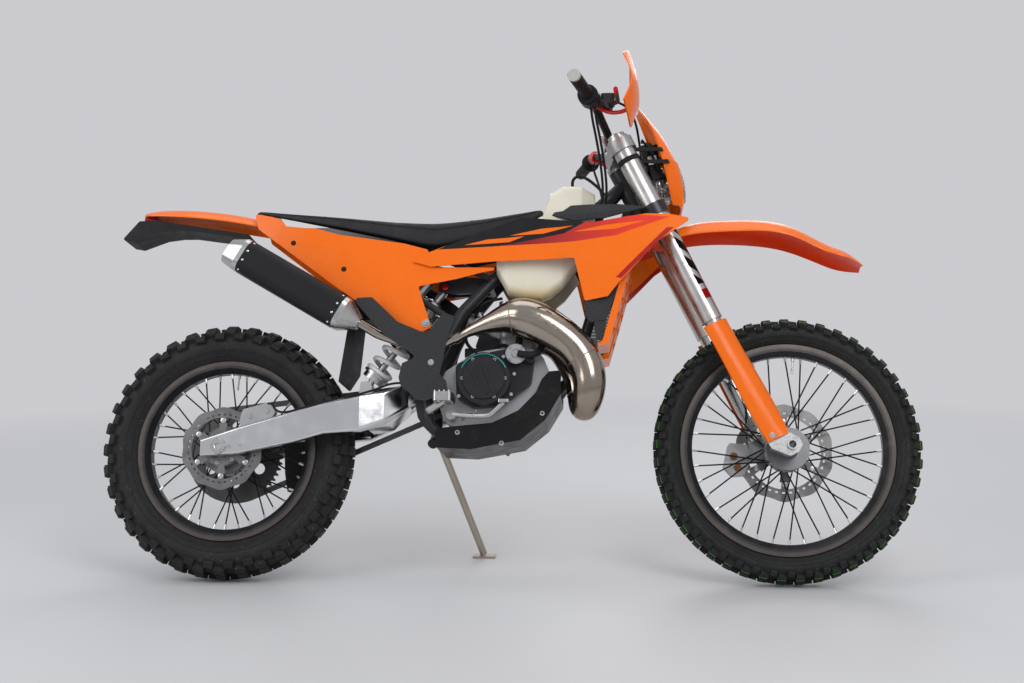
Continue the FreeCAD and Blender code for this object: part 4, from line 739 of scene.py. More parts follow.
def wave_disc(end, axle, y, radii):
    """A wavy brake disc: band with windows, six arms to its buttons and an inner ring."""
    columns, waves, arms = 180, 10, 6
    outer = len(radii) - 1
    apart = 360 / arms
    points, faces, index = [], [], {}

    def at(column, row, level):
        key = (column % columns, row, level)
        if key not in index:
            index[key] = len(points)
            a = 2 * math.pi * key[0] / columns
            swell = 0.021 * math.cos(a * waves) if row == outer else 0.0
            points.append(round_axle(axle, radii[row] * (1 + swell), y - 2 + 4 * level, a))
        return index[key]

    def filled(column, row):
        if row < 0 or row >= outer:
            return False
        off = abs((360 / columns * (column % columns + 0.5) + apart / 2) % apart - apart / 2)
        if row in (1, 2):
            return off < (6.5 if row == 2 else 9.5)
        return row != 4 or column % 5 > 1

    for column in range(columns):
        for row in range(outer):
            if not filled(column, row):
                continue
            corners = ((column, row), (column + 1, row), (column + 1, row + 1), (column, row + 1))
            for level in (0, 1):
                faces.append([at(c, r, level) for c, r in corners])
            besides = ((column, row - 1), (column + 1, row), (column, row + 1), (column - 1, row))
            for here, there, beside in zip(corners, corners[1:] + corners[:1], besides):
                if not filled(*beside):
                    faces.append([at(*here, 0), at(*there, 0), at(*there, 1), at(*here, 1)])
    sketch = Sketch()
    sketch.add(points, faces)
    sketch.make(end + "_wave_disc", end + "_disc", end + "_wheel", (end + "_disc",), 30.0)


def disc_buttons(end, axle, y, reach):
    """Buttons and bolts of a brake disc."""
    sketch = Sketch()
    for index in range(6):
        a = 2 * math.pi * index / 6
        for side in SIDES:
            sketch.spin(round_axle(axle, reach, y, a), Y_AXIS * side,
                        [(0, 7), (3.0, 7), (3.6, 5.5), (3.6, 3)], 16)
            sketch.bolt(round_axle(axle, 40, y, a + 0.3), Y_AXIS * side, 5.0, 3.0)
    sketch.make(end + "_disc_buttons", "bolt", end + "_wheel", slot="disc_steel")


FRONT_DISC_Y = 60
REAR_DISC_Y = -72
wave_disc("front", FRONT_AXLE, FRONT_DISC_Y, (34, 48, 79, 97, 104, 109, 118, 128))
wave_disc("rear", REAR_AXLE, REAR_DISC_Y, (34, 46, 68, 82, 88, 92, 100, 107.5))
disc_buttons("front", FRONT_AXLE, FRONT_DISC_Y, 84)
disc_buttons("rear", REAR_AXLE, REAR_DISC_Y, 74)


# Chain

CHAIN_PITCH = 15.875
REAR_TEETH = 50
FRONT_TEETH = 14


def chain_path():
    """Centres of the chain's pins round both sprockets."""
    rear, front = vec(0, 74, 342), vec(605, 74, 508)
    rear_radius = CHAIN_PITCH / 2 / math.sin(math.pi / REAR_TEETH)
    front_radius = CHAIN_PITCH / 2 / math.sin(math.pi / FRONT_TEETH)
    span = (front - rear).length
    slope = math.atan2(front.z - rear.z, front.x - rear.x)
    spread = math.acos((rear_radius - front_radius) / span)
    run = math.sqrt(span ** 2 - (rear_radius - front_radius) ** 2)
    wrap_front = 2 * spread * front_radius
    total = 2 * run + wrap_front + (2 * math.pi - 2 * spread) * rear_radius
    count = 2 * round(total / CHAIN_PITCH / 2)

    def on(centre, radius, angle):
        return centre + vec(math.cos(angle), 0, math.sin(angle)) * radius

    places = []
    for index in range(count):
        s = total * index / count
        if s < run:
            start, end = on(rear, rear_radius, slope + spread), on(front, front_radius, slope + spread)
            places.append(start.lerp(end, s / run))
        elif s < run + wrap_front:
            places.append(on(front, front_radius, slope + spread - (s - run) / front_radius))
        elif s < 2 * run + wrap_front:
            start, end = on(front, front_radius, slope - spread), on(rear, rear_radius, slope - spread)
            places.append(start.lerp(end, (s - run - wrap_front) / run))
        else:
            places.append(on(rear, rear_radius, slope - spread - (s - 2 * run - wrap_front) / rear_radius))
    return places


def chain():
    """Roller chain with inner and outer plates."""
    sketch = Sketch()
    pins = chain_path()
    for index, pin in enumerate(pins):
        after = pins[(index + 1) % len(pins)]
        way = (after - pin).normalized()
        up = vec(-way.z, 0, way.x)
        reach = 6.2 if index % 2 else 4.7
        for side in SIDES:
            rim = []
            for end, centre in ((1, after), (-1, pin)):
                for a in map(math.radians, range(-75, 76, 30)):
                    rim.append(centre + (way * math.cos(a) + up * math.sin(a)) * end * 7.0)
            sketch.rings([[p + Y_AXIS * side * (reach + shift) for p in rim] for shift in (-0.7, 0.7)])
        sketch.spin(pin - Y_AXIS * 7.2, Y_AXIS, [(0, 2.3), (14.4, 2.3)], 8)
        sketch.spin(pin - Y_AXIS * 3.6, Y_AXIS, [(0, 4.6), (7.2, 4.6)], 10)
    sketch.make("chain_links", "steel", "chassis", ("drive_chain",), 40.0)


chain()


# Reading the CAD's surfaces

TREES = {}
LEAST_FACING = 0.75


def tree_of(mesh):
    """A mesh's surface in the upright bike's millimetres, for casting lines at it."""
    return BVHTree.FromPolygons([FROM_FRAME @ v.co for v in mesh.vertices],
                                [tuple(face.vertices) for face in mesh.polygons])


def touch(name, start, way):
    """Where a line from a point first meets a node, and the way the surface faces there."""
    way = Vector(way)
    if name not in TREES:
        TREES[name] = tree_of(NODES[name].data)
    place, normal, face, far = TREES[name].ray_cast(Vector(start), way.normalized())
    if place is not None and normal.dot(way) > 0:
        normal = -normal
    return place, normal


def outermost(names, x, z, side):
    """The outermost surface of some nodes at a spot of one side."""
    best = (None, None)
    for name in names.split():
        place, normal = touch(name, (x, side * 500, z), (0, -side, 0))
        if place is not None and (best[0] is None or abs(place.y) > abs(best[0].y)):
            best = (place, normal)
    return best


def side_bolts(name, names, spots, radius, height, sides=SIDES, washer=0.0, body="chassis", material="bolt"):
    """Socket-head bolts sitting on the outside of some nodes."""
    sketch = Sketch()
    for x, z in spots:
        for side in sides:
            place, normal = outermost(names, x, z, side)
            if place is None or abs(normal.y) < LEAST_FACING:
                continue
            if washer:
                sketch.spin(place - normal * 0.5, normal, [(0, washer), (1.3, washer), (1.8, washer - 0.6)])
            sketch.bolt(place + normal * (1.0 if washer else 0.0), normal, radius, height)
    sketch.make(name, material, body, slot="hub_alloy")


def circle(x, z, reach, count, start=0.0):
    """Spots round a circle seen from the side."""
    angles = (math.radians(start + 360 * k / count) for k in range(count))
    return [(x + reach * math.cos(a), z + reach * math.sin(a)) for a in angles]


# Seat: a crowned pad with piped and stitched seams

# Station, half width, top and base; then shares of the half width and of the height from base to top
SEAT_ROWS = ((52, 60, 1000, 993), (150, 78, 994, 968), (302, 90, 982, 938), (448, 96, 968, 905),
             (560, 94, 965, 880), (678, 84, 977, 914), (790, 66, 996, 952), (846, 52, 1006, 984))
SEAT_SECTION = ((0.0, 0.0), (0.60, 0.0), (0.94, 0.01), (0.985, 0.12), (0.92, 0.34), (0.845, 0.56),
                (0.80, 0.68), (0.70, 0.83), (0.48, 0.95), (0.24, 1.01))
STITCH = ((0, 0.45), (0.5, 0.75), (2.3, 0.75), (2.8, 0.45))
SEAM_START = 66
SEAM_STEP = 7.75
SEAM_ACROSS = 0.81
SEAM_UP = 0.66


def seat_size(x):
    """The seat's half width, top and base at a station."""
    for (x0, *low), (x1, *high) in zip(SEAT_ROWS, SEAT_ROWS[1:]):
        if x <= x1:
            share = (x - x0) / (x1 - x0)
            return [a + (b - a) * share for a, b in zip(low, high)]


def seat():
    """The pad, its piping, its stitches and two cross seams."""
    sketch = Sketch()
    rings = []
    for x in (52, 84, 150, 226, 302, 375, 448, 504, 560, 619, 678, 734, 790, 820, 846):
        half, top, base = seat_size(x)
        side = [(half * across, base + (top - base) * up) for across, up in SEAT_SECTION]
        rings.append([vec(x, y, z) for y, z in side] + [vec(x, 0, top + 1)]
                     + [vec(x, -y, z) for y, z in side[:0:-1]])
    sketch.rings(rings)
    pad = sketch.make("seat_pad", "seat", "chassis", ("seat",), 60.0)
    smoother = pad.modifiers.new("smooth", "SUBSURF")
    smoother.levels = 2
    smoother.render_levels = 2
    shape = bpy.data.meshes.new_from_object(pad.evaluated_get(bpy.context.evaluated_depsgraph_get()))
    pad.modifiers.clear()
    pad.data = shape
    shape.shade_smooth()
    tree = tree_of(shape)
    piping, stitches, cross = Sketch(), Sketch(), Sketch()
    for side in SIDES:
        seam = []
        for step in range(99):
            x = SEAM_START + step * SEAM_STEP
            half, top, base = seat_size(x)
            aim = vec(x, side * SEAM_ACROSS * half, base + (top - base) * SEAM_UP)
            way = vec(0, -side, -1.1).normalized()
            place = tree.ray_cast(aim - way * 60, way)[0]
            if place is not None:
                seam.append((place, -way))
        piping.tube([place for place, out in seam], 1.7)
        for rise in (5.0, -5.0):
            for (here, out), (there, _) in zip(seam, seam[1:]):
                lift = out.cross(there - here).normalized() * rise
                way = (there - here).normalized()
                for share in (0.0, 0.5):
                    hit = tree.find_nearest(here.lerp(there, share) + lift)[0]
                    stitches.spin(hit - way * 1.4, way, STITCH, 5)
    piping.make("seat_piping", "rubber", slot="seat_cover")
    stitches.make("seat_stitches", "thread")
    for x in (232, 640):
        half, top, base = seat_size(x)
        line = [tree.ray_cast(vec(x + abs(step) * 0.9, step * half * 0.039, top + 80), vec(0, 0, -1))[0]
                for step in range(-20, 21)]
        cross.tube([place for place in line if place is not None], 1.2)
    cross.make("seat_cross_seams", "rubber", slot="seat_cover")


seat()


# Shock spring

SHOCK_LOW = vec(374, -20, 514)
SHOCK_WAY = (vec(588, -20, 790) - SHOCK_LOW).normalized()


def spring():
    """A coil of round wire about the shock, its ends laid flat."""
    across = SHOCK_WAY.orthogonal().normalized()
    up = SHOCK_WAY.cross(across)
    turns, travel, radius = 6.5, 186, 32.5
    steps = int(turns * 26)
    flat = 0.75 / turns
    line = []
    for step in range(steps + 1):
        share = step / steps
        rise = min(1.0, max(0.0, (share - flat) / (1 - 2 * flat)))
        a = 2 * math.pi * turns * share
        line.append(SHOCK_LOW + SHOCK_WAY * 50 + SHOCK_WAY * (travel * rise)
                    + (across * math.cos(a) + up * math.sin(a)) * radius)
    coil = Sketch()
    coil.tube(line, 6.3, 12)
    coil.make("spring_coil", "white", "chassis", ("shock_spring",), 60.0)


spring()
turned("spring_collars", "alloy", "chassis",
       (SHOCK_LOW + SHOCK_WAY * 242, SHOCK_WAY, [(0, 37), (3, 38.5), (9, 38.5), (11, 36), (11, 20)], 40),
       (SHOCK_LOW + SHOCK_WAY * 34, SHOCK_WAY, [(0, 24), (2, 37), (8, 38), (10, 36), (10, 20)], 40))
turned("shock_adjusters", "red", "chassis",
       (SHOCK_LOW + SHOCK_WAY * 254, SHOCK_WAY, [(0, 34), (2, 36), (8, 36), (9, 34), (9, 20)], 12),
       (SHOCK_LOW + SHOCK_WAY * 22, SHOCK_WAY, [(0, 16), (2, 27), (10, 27), (11, 24), (11, 14)], 12),
       ((583, -58, 780), (0.2, -1, 0), [(0, 9), (6, 9), (7, 8), (7, 4)], 12))


# Bolts

PANELS = "side_panel_right side_panel_left"
CASES = "engine_cases engine_covers"
RIGHT, LEFT = (-1,), (1,)
CLUTCH_AT = (699, 517)
PUMP_AT = (781, 583)
side_bolts("panel_bolts", PANELS, ((173, 897), (315, 821), (639, 827)), 4.5, 0.6, washer=7.0,
           material="black")
side_bolts("panel_tip_bolts", PANELS, ((541, 668),), 6.5, 2.5, washer=11.0)
side_bolts("guard_bolts", "frame_guards", ((580, 690), (560, 560), (430, 500)), 6.0, 2.0, washer=8.0)
side_bolts("skid_bolts", "skid_plate", ((630, 380), (850, 430), (745, 352)), 6.5, 2.0)
side_bolts("clutch_bolts", CASES, circle(*CLUTCH_AT, 79, 9, 12), 5.0, 3.0, RIGHT)
side_bolts("cover_bolts", CASES, circle(*CLUTCH_AT, 56, 6), 4.5, 2.0, RIGHT)
side_bolts("ignition_bolts", CASES, circle(792, 530, 53, 6, 30), 5.0, 2.5, LEFT)
side_bolts("case_bolts", CASES, ((600, 470), (640, 420), (720, 402), (800, 412), (850, 470), (840, 560),
                                 (600, 560)), 5.0, 3.0)
side_bolts("cylinder_bolts", "cylinder", ((745, 640), (812, 625), (760, 735), (820, 715), (838, 660)),
           5.5, 4.0)
side_bolts("swingarm_bolts", "swingarm", ((28, 342), (60, 346), (500, 508)), 5.5, 3.0)
side_bolts("fork_guard_bolts", "fork_guards", ((1436, 372),), 5.0, 1.5, washer=7.5, body="steering")
side_bolts("caliper_bolts", "front_caliper", ((1345, 350), (1360, 300)), 5.5, 3.0, LEFT, body="steering")
side_bolts("rear_caliper_bolts", "rear_caliper", ((75, 425), (120, 440)), 5.5, 3.0, RIGHT)

arc = Sketch()
arc.tube([vec(CLUTCH_AT[0] + 63 * math.cos(a), -152.4, CLUTCH_AT[1] + 63 * math.sin(a))
          for a in map(math.radians, range(25, 156, 5))], 1.5)
arc.make("cover_rim_arc", "teal")

pistons = Sketch()
for x, z in ((1352, 338), (1362, 308)):
    face = touch("front_caliper", (x, -300, z), (0, 1, 0))[0]
    if face is not None:
        pistons.spin(face + vec(0, 0.5, 0), (0, -1, 0), [(0, 10.5), (2, 10.5), (2.6, 9), (2.6, 5), (1.2, 3)])
pistons.make("caliper_pistons", "copper", "steering")


# Handlebar, fork caps and instruments

top_bolts, knobs = Sketch(), Sketch()
for side in SIDES:
    for ahead in (-3.0, 17.4):
        for shift in (-7.5, 7.5):
            top_bolts.bolt(steer(ahead, side * 45 + shift, 171.4), UP_STEERING, 4.2, 4.0)
    cap = fork(side, 128)
    top_bolts.spin(cap, UP_STEERING, [(-1, 25), (3, 25), (4.5, 23), (4.5, 14)], 32)
    top_bolts.spin(cap + UP_STEERING * 4, UP_STEERING, [(0, 13), (6, 13), (7, 12), (7, 6)], 6)
    knobs.spin(fork(side, 138), UP_STEERING, [(0, 7), (5, 7), (6.5, 5.5), (6.5, 2)], 16)
    knobs.spin(steer(7.2, side * 68, 152.4), Y_AXIS * side, [(0, 12.4), (5, 12.4)], 24)
top_bolts.spin(steer(0, 0, 128), UP_STEERING, [(0, 16), (9, 16), (10, 14.5), (10, 9), (4, 8)], 6)
top_bolts.make("clamp_bolts", "bolt", "steering")
knobs.make("fork_adjusters", "red", "steering")

DASH_FACE = vec(-0.35, 0, 1).normalized()
DASH_RUN = vec(1, 0, 0.35).normalized()
dash = Sketch()
dash.block((1140, 0, 1169), DASH_RUN * 17, Y_AXIS * 44, DASH_FACE * 9, 3.0)
dash.block((1152, 0, 1128), (9, 0, 3), Y_AXIS * 30, (-3, 0, 22), 2.0)
for side in SIDES:
    dash.spin((1150, side * 38, 1150), (0.5, side, -1), [(0, 6), (52, 6)], 10)
dash.make("dash_body", "black", "steering")
boxes("dash_display", "gloss_black", "steering",
      ((1138, 0, 1177.5), DASH_RUN * 12, Y_AXIS * 30, DASH_FACE * 1.5, 0.8))
boxes("connector_boxes", "grey", "steering",
      ((1118, -34, 1120), (12, 0, -3), Y_AXIS * 13, (3, 0, 16), 2.0),
      ((1116, 30, 1112), (10, 0, -3), Y_AXIS * 11, (3, 0, 14), 2.0))
turned("lamp_bowl", "mirror", "steering",
       ((1149, 0, 1074), (1, 0, 0.05), [(0, 8), (3, 17), (12, 27), (30, 33), (44, 35), (44, 34), (30, 31),
                                        (13, 25), (6, 14), (6, 4)], 36))
turned("lamp_bulb", "white", "steering",
       ((1158, 0, 1074), (1, 0, 0.05), [(0, 5), (20, 5), (26, 4), (29, 2)], 16))


# Headlamp mask and hand guards: thin shells

def mask_row(z, front, half, side):
    """The mask's edge, shoulder and middle at a height."""
    shoulder = front - 0.34 * (front - side)
    return [(side, -half, z), (shoulder, -0.78 * half, z), (front, 0, z), (shoulder, 0.78 * half, z),
            (side, half, z)]


def mask():
    """The mask over the lamp, its two cheeks and its chin."""
    sketch = Sketch()
    sketch.skin([mask_row(*row) for row in (
        (1291, 1108, 34, 1102), (1250, 1140, 66, 1122), (1190, 1184, 92, 1148), (1125, 1216, 106, 1168),
        (1117, 1219, 105, 1170))])
    for side in SIDES:
        sketch.skin([[(edge, side * half, z), (front - 0.34 * (front - edge), side * 0.82 * half, z),
                      (front - 8, side * 56, z)]
                     for z, front, half, edge in ((1121, 1217, 105, 1169), (1051, 1236, 92, 1184),
                                                  (1003, 1230, 62, 1198))])
    sketch.skin([[(edge, -57, z), (front, 0, middle), (edge, 57, z)]
                 for edge, z, front, middle in ((1222, 1030, 1233, 1030), (1218, 1016, 1232, 1014),
                                                (1214, 1003, 1228, 1003))])
    sketch.make("mask_shell", "orange", "steering", ("headlight_mask",), 50.0)


mask()
guards, stays = Sketch(), Sketch()
for side in SIDES:
    rows = []
    for y, back, low, high in ((240, 0, 1176, 1272), (290, 0, 1140, 1308), (335, 3, 1126, 1324),
                               (380, 9, 1140, 1316), (415, 20, 1172, 1292)):
        middle = (low + high) / 2
        rows.append([(1082 - back, side * y, low), (1097 - back, side * y, (low + middle) / 2),
                     (1104 - back, side * y, middle), (1097 - back, side * y, (high + middle) / 2),
                     (1080 - back, side * y, high)])
    guards.skin(rows, (-3.5, 0, 0))
    stays.hose([(984, side * 222, 1234), (1010, side * 228, 1206), (1056, side * 250, 1196),
                (1089, side * 286, 1204), (1092, side * 318, 1212)], 5.5)
    stays.spin((983, side * 213, 1233), (-0.26, side * 0.965, 0.04), [(0, 17), (18, 17)], 24)
guards.make("guard_shells", "orange", "steering", ("hand_guards",), 50.0)
stays.make("guard_stays", "red_plastic", "steering", smooth=50.0)

harness, terminals, sockets, straps = Sketch(), Sketch(), Sketch(), Sketch()
for side in SIDES:
    harness.block((1128, side * 48, 1150), (16, 0, 5), Y_AXIS * 17, (-8, 0, 24), 2.5)
    harness.block((1150, side * 50, 1098), (14, 0, 4), Y_AXIS * 14, (-7, 0, 20), 2.5)
    for drop in (0, 12, 24):
        harness.hose([(1112, side * (30 + drop), 1190), (1124, side * (78 - drop), 1176),
                      (1138 + drop / 2, side * (84 - drop), 1140 - drop), (1160, side * (70 - drop), 1090),
                      (1168, side * 30, 1060)], 3.2, 8)
    terminals.block((1140, side * 70, 1126), (12, 0, 2), (-2, 0, 12), Y_AXIS * side * 3, 1.0)
    for shift in (-5, 5):
        sockets.spin((1140 + shift, side * 72.8, 1125), Y_AXIS * side, [(0, 2.4), (0.6, 2.4)], 12)
    for along in (58, 96):
        centre = fork(side, along)
        straps.spin(centre - UP_STEERING * 7, UP_STEERING,
                    [(0, 29.2), (0.5, 31.5), (13.5, 31.5), (14, 29.2)], 32)
        straps.block(centre + vec(66, 0, 0), (40, 0, 0), Y_AXIS * 2.2, UP_STEERING * 6, 0.8)
harness.make("lamp_harness", "black", "steering")
terminals.make("terminal_plates", "pale", "steering")
sockets.make("terminal_sockets", "black", "steering")
straps.make("mask_straps", "rubber", "steering")

bosses = Sketch()
for side in SIDES:
    for ahead in (-4, 30):
        below = steer(ahead, side * 34, -420)
        low = touch("front_fender", steer(ahead, side * 34, -20), -UP_STEERING)[0]
        high = touch("triple_clamps", below, UP_STEERING)[0]
        if low is not None and high is not None and (high - low).dot(UP_STEERING) > 0:
            bosses.spin(low - UP_STEERING, UP_STEERING, [(0, 8), ((high - low).length + 2, 8)], 16)
            bosses.bolt(touch("front_fender", below, UP_STEERING)[0], -UP_STEERING, 5, 3)
bosses.make("fender_bosses", "black", "steering")


# Cables and hoses held at both ends

def held(name, body, *routes):
    """Hoses or cables that are held at both ends."""
    sketch = Sketch()
    for radius, points in routes:
        sketch.hose(points, radius)
    return sketch.make(name, "rubber", body, smooth=60.0)


held("front_brake_hose", "steering", (3.2, [
    (1020, -246, 1232), (1062, -220, 1236), (1092, -150, 1218), (1106, -20, 1196), (1112, 60, 1172),
    steer(60, 104, 40), steer(57, 105, -60), steer(57, 105, -200), steer(57, 105, -380), steer(48, 76, -470),
    steer(40, 66, -620), (1388, 68, 385), (1392, 62, 350)]))
CABLE = ((976, 262, 1222), (978, 236, 1196), (990, 190, 1150), (1002, 140, 1090), (1008, 96, 1030),
         (1000, 72, 985), (985, 64, 955))
for name, side, shift in (("throttle_cable_a", -1, 0), ("throttle_cable_b", -1, 10), ("clutch_hose", 1, 0)):
    cable = held(name, None, (3.4, [(x + shift, side * (y - (shift if z < HEAD.z - 60 else 0)), z)
                                    for x, y, z in CABLE]))
    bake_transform(cable)
held("tank_vent", "chassis", (4.2, [(925, 0, 1064), (918, 0, 1092), (940, -6, 1108), (968, -12, 1092),
                                    (1008, -24, 1052), (1030, -38, 1010)]))

on_arm = [touch("swingarm", (x, -92, 900), (0, 0, -1))[0] for x in (150, 230, 310, 390)]
held("rear_brake_hose", "chassis", (3.0, [(110, -78, 452), (128, -88, 470)]
                                    + [spot + vec(0, 0, 4.5) for spot in on_arm if spot is not None]
                                    + [(470, -100, 520), (560, -118, 488), (612, -120, 462)]))

guide, guide_bolts = Sketch(), Sketch()
for near in (63.5, 84.0):
    guide.plate([(x, near, z) for x, z in (
        (135, 372), (201, 378), (208, 290), (206, 251), (149, 240), (140, 290))], (0, 2.6, 0))
for x, z in ((155, 250), (200, 259), (146, 362), (195, 368)):
    guide.spin((x, 64, z), Y_AXIS, [(0, 5), (22, 5)], 12)
    guide_bolts.bolt(vec(x, 86.6, z), Y_AXIS, 4.2, 2.0)
guide.make("chain_guide_plates", "black")
guide_bolts.make("chain_guide_bolts", "bolt")


# Intake, small hoses and fittings round the engine

boxes("intake_block", "dark", "chassis",
      ((706, 0, 628), (34, 0, -12), Y_AXIS * 38, (6, 0, 18), 3.0),
      ((668, 0, 604), (30, 0, 0), Y_AXIS * 46, (0, 0, 12), 3.0))
side_bolts("intake_bolts", "throttle_body", ((650, 672), (668, 706), (700, 664), (704, 696)), 4.5, 3.5)
held("engine_hoses", "chassis",
     (9.5, [(784, -90, 604), (786, -92, 630), (792, -78, 670), (800, -66, 720), (806, -50, 756)]),
     (4.5, [(672, -44, 684), (650, -64, 668), (640, -74, 632), (660, -80, 604), (676, -84, 596)]),
     (4.0, [(690, 44, 684), (676, 66, 650), (690, 78, 610), (720, 84, 596)]),
     (4.0, [(664, -40, 700), (676, -62, 724), (700, -70, 740), (738, -60, 748)]),
     (5.0, [(690, -30, 596), (714, -66, 606), (744, -84, 622), (770, -88, 604)]))
CLIP = [(-3, 9.6), (-2.5, 11), (3.5, 11), (4, 9.6)]
turned("hose_clips", "bolt", "chassis", ((784.5, -91, 612), (0.05, 0, 1), CLIP),
       ((803, -57, 740), (0.1, 0.3, 1), CLIP))

shields, teeth = Sketch(), Sketch()
for side in SIDES:
    for depth, outline in ((4.5, ((957, 722), (962, 680), (973, 661), (1012, 666), (1024, 690), (1064, 788),
                                  (1048, 806), (1000, 760))),
                           (3.0, ((984, 664), (990, 620), (1006, 612), (1016, 668)))):
        shields.plate([(x, side * 158, z) for x, z in outline], (0, side * depth, 0))
    for x in range(558, 619, 12):
        for y in (160, 171, 182, 193, 204, 215, 225):
            place, facing = touch("footpegs", (x, side * y, 600), (0, 0, -1))
            if place is not None and facing.z > 0.8:
                teeth.spin(place - vec(0, 0, 0.5), (0, 0, 1), [(0, 2.6), (4.5, 1.4), (5, 0.6)], 6)
shields.make("radiator_shields", "guard")
teeth.make("peg_teeth", "brushed")


# Pipe's welds, axle nuts and the pump's cover

def pipe_welds():
    """A seam along the pipe's side and beads round it."""
    welds = Sketch()
    line = smooth_path([(x, 0, z) for x, z in (
        (960, 520), (958, 560), (936, 597), (905, 625), (870, 647), (829, 668), (787, 678), (748, 676),
        (712, 667), (684, 656), (655, 644))])
    seam = [touch("exhaust_pipe", (x, -500, z), (0, 1, 0))[0] for x, y, z in line]
    welds.tube([spot for spot in seam if spot is not None and spot.y < -110], 1.1, 6)
    for centre, way, reach in ((vec(951, -151.5, 565), vec(-0.55, 0.03, 1), 45.8),
                               (vec(768, -136, 678), vec(-1, 0.07, -0.12), 44.6),
                               (vec(941, -80, 486), vec(0.25, -0.3, -0.9), 28.6)):
        way = way.normalized()
        across = way.orthogonal().normalized()
        up = way.cross(across)
        bead = []
        for k in range(49):
            out = across * math.cos(k * math.pi / 24) + up * math.sin(k * math.pi / 24)
            hit = touch("exhaust_pipe", centre + out * (reach + 30), -out)[0]
            near = hit is not None and (hit - centre).length < reach + 8
            bead.append(hit if near else centre + out * reach)
        welds.tube(bead, 1.6, 6)
    welds.make("pipe_welds", "weld", smooth=60.0)


pipe_welds()
nuts = Sketch()
for side in SIDES:
    nuts.spin(REAR_AXLE + Y_AXIS * side * 112.5, Y_AXIS * side, [(0, 21), (3, 21), (4, 20), (4, 12)], 32)
    nuts.spin(REAR_AXLE + Y_AXIS * side * 116, Y_AXIS * side,
              [(0, 15), (8, 15), (9.5, 13.5), (9.5, 9), (3, 8)], 6)
nuts.make("rear_axle_nuts", "bolt")
face = outermost("engine_covers", *PUMP_AT, -1)[0]
if face is not None:
    pump = Sketch()
    pump.spin(face + vec(0, 0.5, 0), (0, -1, 0), [(0, 27), (2.5, 27), (4, 25), (4, 12), (6, 10), (6, 3)], 36)
    for x, z in circle(*PUMP_AT, 21, 4, 45):
        pump.bolt(vec(x, face.y - 3.5, z), vec(0, -1, 0), 3.6, 2.2)
    pump.make("pump_cover", "cast")
    held("pump_hose", "chassis", (9, [face + vec(*step) for step in (
        (6, -8, 0), (26, -10, -5), (48, -6, -4), (62, 12, 10), (72, 40, 40))]))
boxes("cover_ribs", "cover", "chassis",
      *(((CLUTCH_AT[0] + shift, -155.2, CLUTCH_AT[1] - shift * 0.3), (-14, 0, 42 - abs(shift) * 0.5),
         (4.5, 0, 1.5), (0, -1.2, 0), 0.6) for shift in (-26, -2, 14)))


# Trim plates on the shrouds' top edges, silencer rivets and radiator mounts

trim = Sketch()
for side in SIDES:
    trim.plate([(x, side * (93 + (996 - z) * 0.46 + max(0, x - 955) * 0.36), z) for x, z in (
        (872, 962), (886, 990), (972, 994), (1050, 984), (1122, 966), (1010, 946), (930, 944))],
               (0, side * 3.0, 1.3))
trim.make("trim_plates", "guard")

SILENCER_FRONT = vec(317, -140, 693)
SILENCER_WAY = vec(-0.863, 0, 0.505).normalized()
RIVETS = 10
rivets = Sketch()
for along in (9, 291):
    for index in range(RIVETS):
        a = 2 * math.pi * (index + 0.5) / RIVETS
        out = vec(0.505 * math.sin(a), math.cos(a), 0.863 * math.sin(a)).normalized()
        centre = SILENCER_FRONT + SILENCER_WAY * along
        hit, normal = None, None
        for name in ("silencer", "silencer_caps"):
            place, facing = touch(name, centre + out * 120, -out)
            if place is not None and (hit is None or (place - centre).length > (hit - centre).length):
                hit, normal = place, facing
        if hit is not None:
            rivets.spin(hit - normal * 0.5, normal, [(0, 3.4), (1.2, 3.0), (1.9, 1.6), (2.0, 0.4)], 12)
rivets.make("silencer_rivets", "bolt")

rubber_mounts = Sketch()
for z in (650, 815):
    front = touch("main_frame", (1300, 0, z), (-1, 0, 0))[0]
    for side in SIDES if front is not None else ():
        face = touch("radiators", (front.x - 10, 0, z), (0, side, 0))[0]
        if face is not None:
            reach = abs(face.y)
            rubber_mounts.spin((front.x - 10, side * 8, z), Y_AXIS * side,
                               [(0, 6), (reach - 20, 6), (reach - 20, 10), (reach - 7, 10)], 16)
rubber_mounts.make("radiator_mounts", "steel")


# Camera, light and floor

CAMERA_AT = vec(761, 0, 628)
DISTANCE = 3874.0
SENSOR = 36.0
FOCAL_PX = 1436.0
FRAME_PX = 1024.0
CENTRE_ROW = 341.5
PRINCIPAL_ROW = 346.9
LOOK = (Matrix.Rotation(math.radians(0.67), 4, "Y") @ Matrix.Rotation(math.radians(-11.0), 4, "X")
        @ Matrix.Rotation(math.radians(-4.10), 4, "Z"))
PALE = (0.60, 0.60, 0.625)


def camera():
    """The photograph's camera."""
    back = LOOK.transposed()
    at = CAMERA_AT - back @ Vector((0, DISTANCE, 0))
    data = bpy.data.cameras.new("camera")
    data.sensor_width = SENSOR
    data.lens = FOCAL_PX / FRAME_PX * SENSOR
    data.shift_y = (PRINCIPAL_ROW - CENTRE_ROW) / FRAME_PX
    data.clip_start = 0.1
    data.clip_end = 100.0
    made = place_in_scene("camera", data)
    axes = TURN.to_3x3() @ back.to_3x3()
    right, ahead, up = axes.col[0], axes.col[1], axes.col[2]
    turn = Matrix((right, up, -ahead)).transposed().to_4x4()
    made.matrix_world = Matrix.Translation(TO_FRAME @ at) @ turn
    bpy.context.scene.camera = made


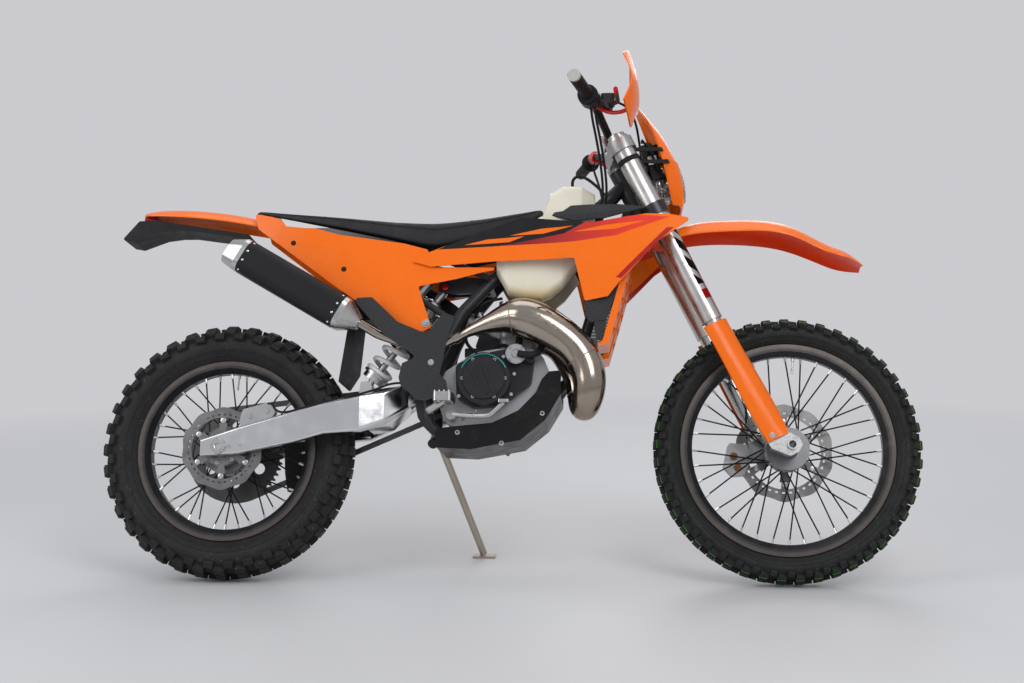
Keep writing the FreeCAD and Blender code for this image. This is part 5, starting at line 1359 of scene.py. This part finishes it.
def floor():
    """A pale floor that fades into its surroundings."""
    g = Graph("studio_floor")
    g.set("Base Color", g.mix(g.noise(2.0, 3.0), (0.60, 0.60, 0.61), (0.64, 0.64, 0.65)))
    g.set("Roughness", 0.55)
    reach = g.node("ShaderNodeVectorMath", {0: g.place()}, operation="LENGTH").outputs["Value"]
    far = g.times(g.ramp(reach, 1.6, 4.6), g.node("ShaderNodeLightPath").outputs["Is Camera Ray"])
    glow = g.node("ShaderNodeEmission", {"Color": PALE, "Strength": 1.0}).outputs[0]
    fade = g.node("ShaderNodeMixShader", {0: far, 1: g.shader.outputs[0], 2: glow}).outputs[0]
    g.put(fade, g.nodes["Material Output"].inputs[0])
    mesh = bpy.data.meshes.new("studio_floor")
    mesh.from_pydata([(-14, -14, 0), (14, -14, 0), (14, 14, 0), (-14, 14, 0)], [], [(0, 1, 2, 3)])
    mesh.materials.append(g.material)
    place_in_scene("studio_floor", mesh)


def surroundings():
    """Soft light, and a pale backdrop where the camera looks."""
    world = bpy.data.worlds.new("studio")
    bpy.context.scene.world = world
    g = Graph("studio", world)
    path = g.node("ShaderNodeLightPath").outputs
    seen = g.math("MAXIMUM", path["Is Camera Ray"], path["Is Transmission Ray"])
    soft = g.node("ShaderNodeBackground", {0: (0.80, 0.82, 0.86), 1: 0.62}).outputs[0]
    pale = g.node("ShaderNodeBackground", {0: PALE, 1: 1.0}).outputs[0]
    blend = g.node("ShaderNodeMixShader", {0: seen, 1: soft, 2: pale}).outputs[0]
    g.put(blend, g.nodes["World Output"].inputs[0])


def area_light(name, at, aim, size, power):
    """A soft box."""
    data = bpy.data.lights.new(name, "AREA")
    data.shape = "RECTANGLE"
    data.size, data.size_y = size
    data.energy = power
    lamp = place_in_scene(name, data)
    lamp.location = at
    lamp.rotation_euler = (Vector(aim) - Vector(at)).to_track_quat("-Z", "Y").to_euler()


camera()
floor()
surroundings()
area_light("key", (1.6, -3.2, 3.4), (0.1, 0, 0.6), (1.8, 2.6), 66)
area_light("fill", (-2.8, -2.2, 2.2), (-0.2, 0, 0.5), (1.8, 2.2), 34)
area_light("top", (0.0, 0.6, 4.0), (0, 0, 0.5), (3.4, 2.4), 30)
area_light("back", (0.6, 3.4, 2.6), (0, 0, 0.6), (2.4, 1.6), 30)
bpy.context.scene.view_settings.view_transform = "Standard"
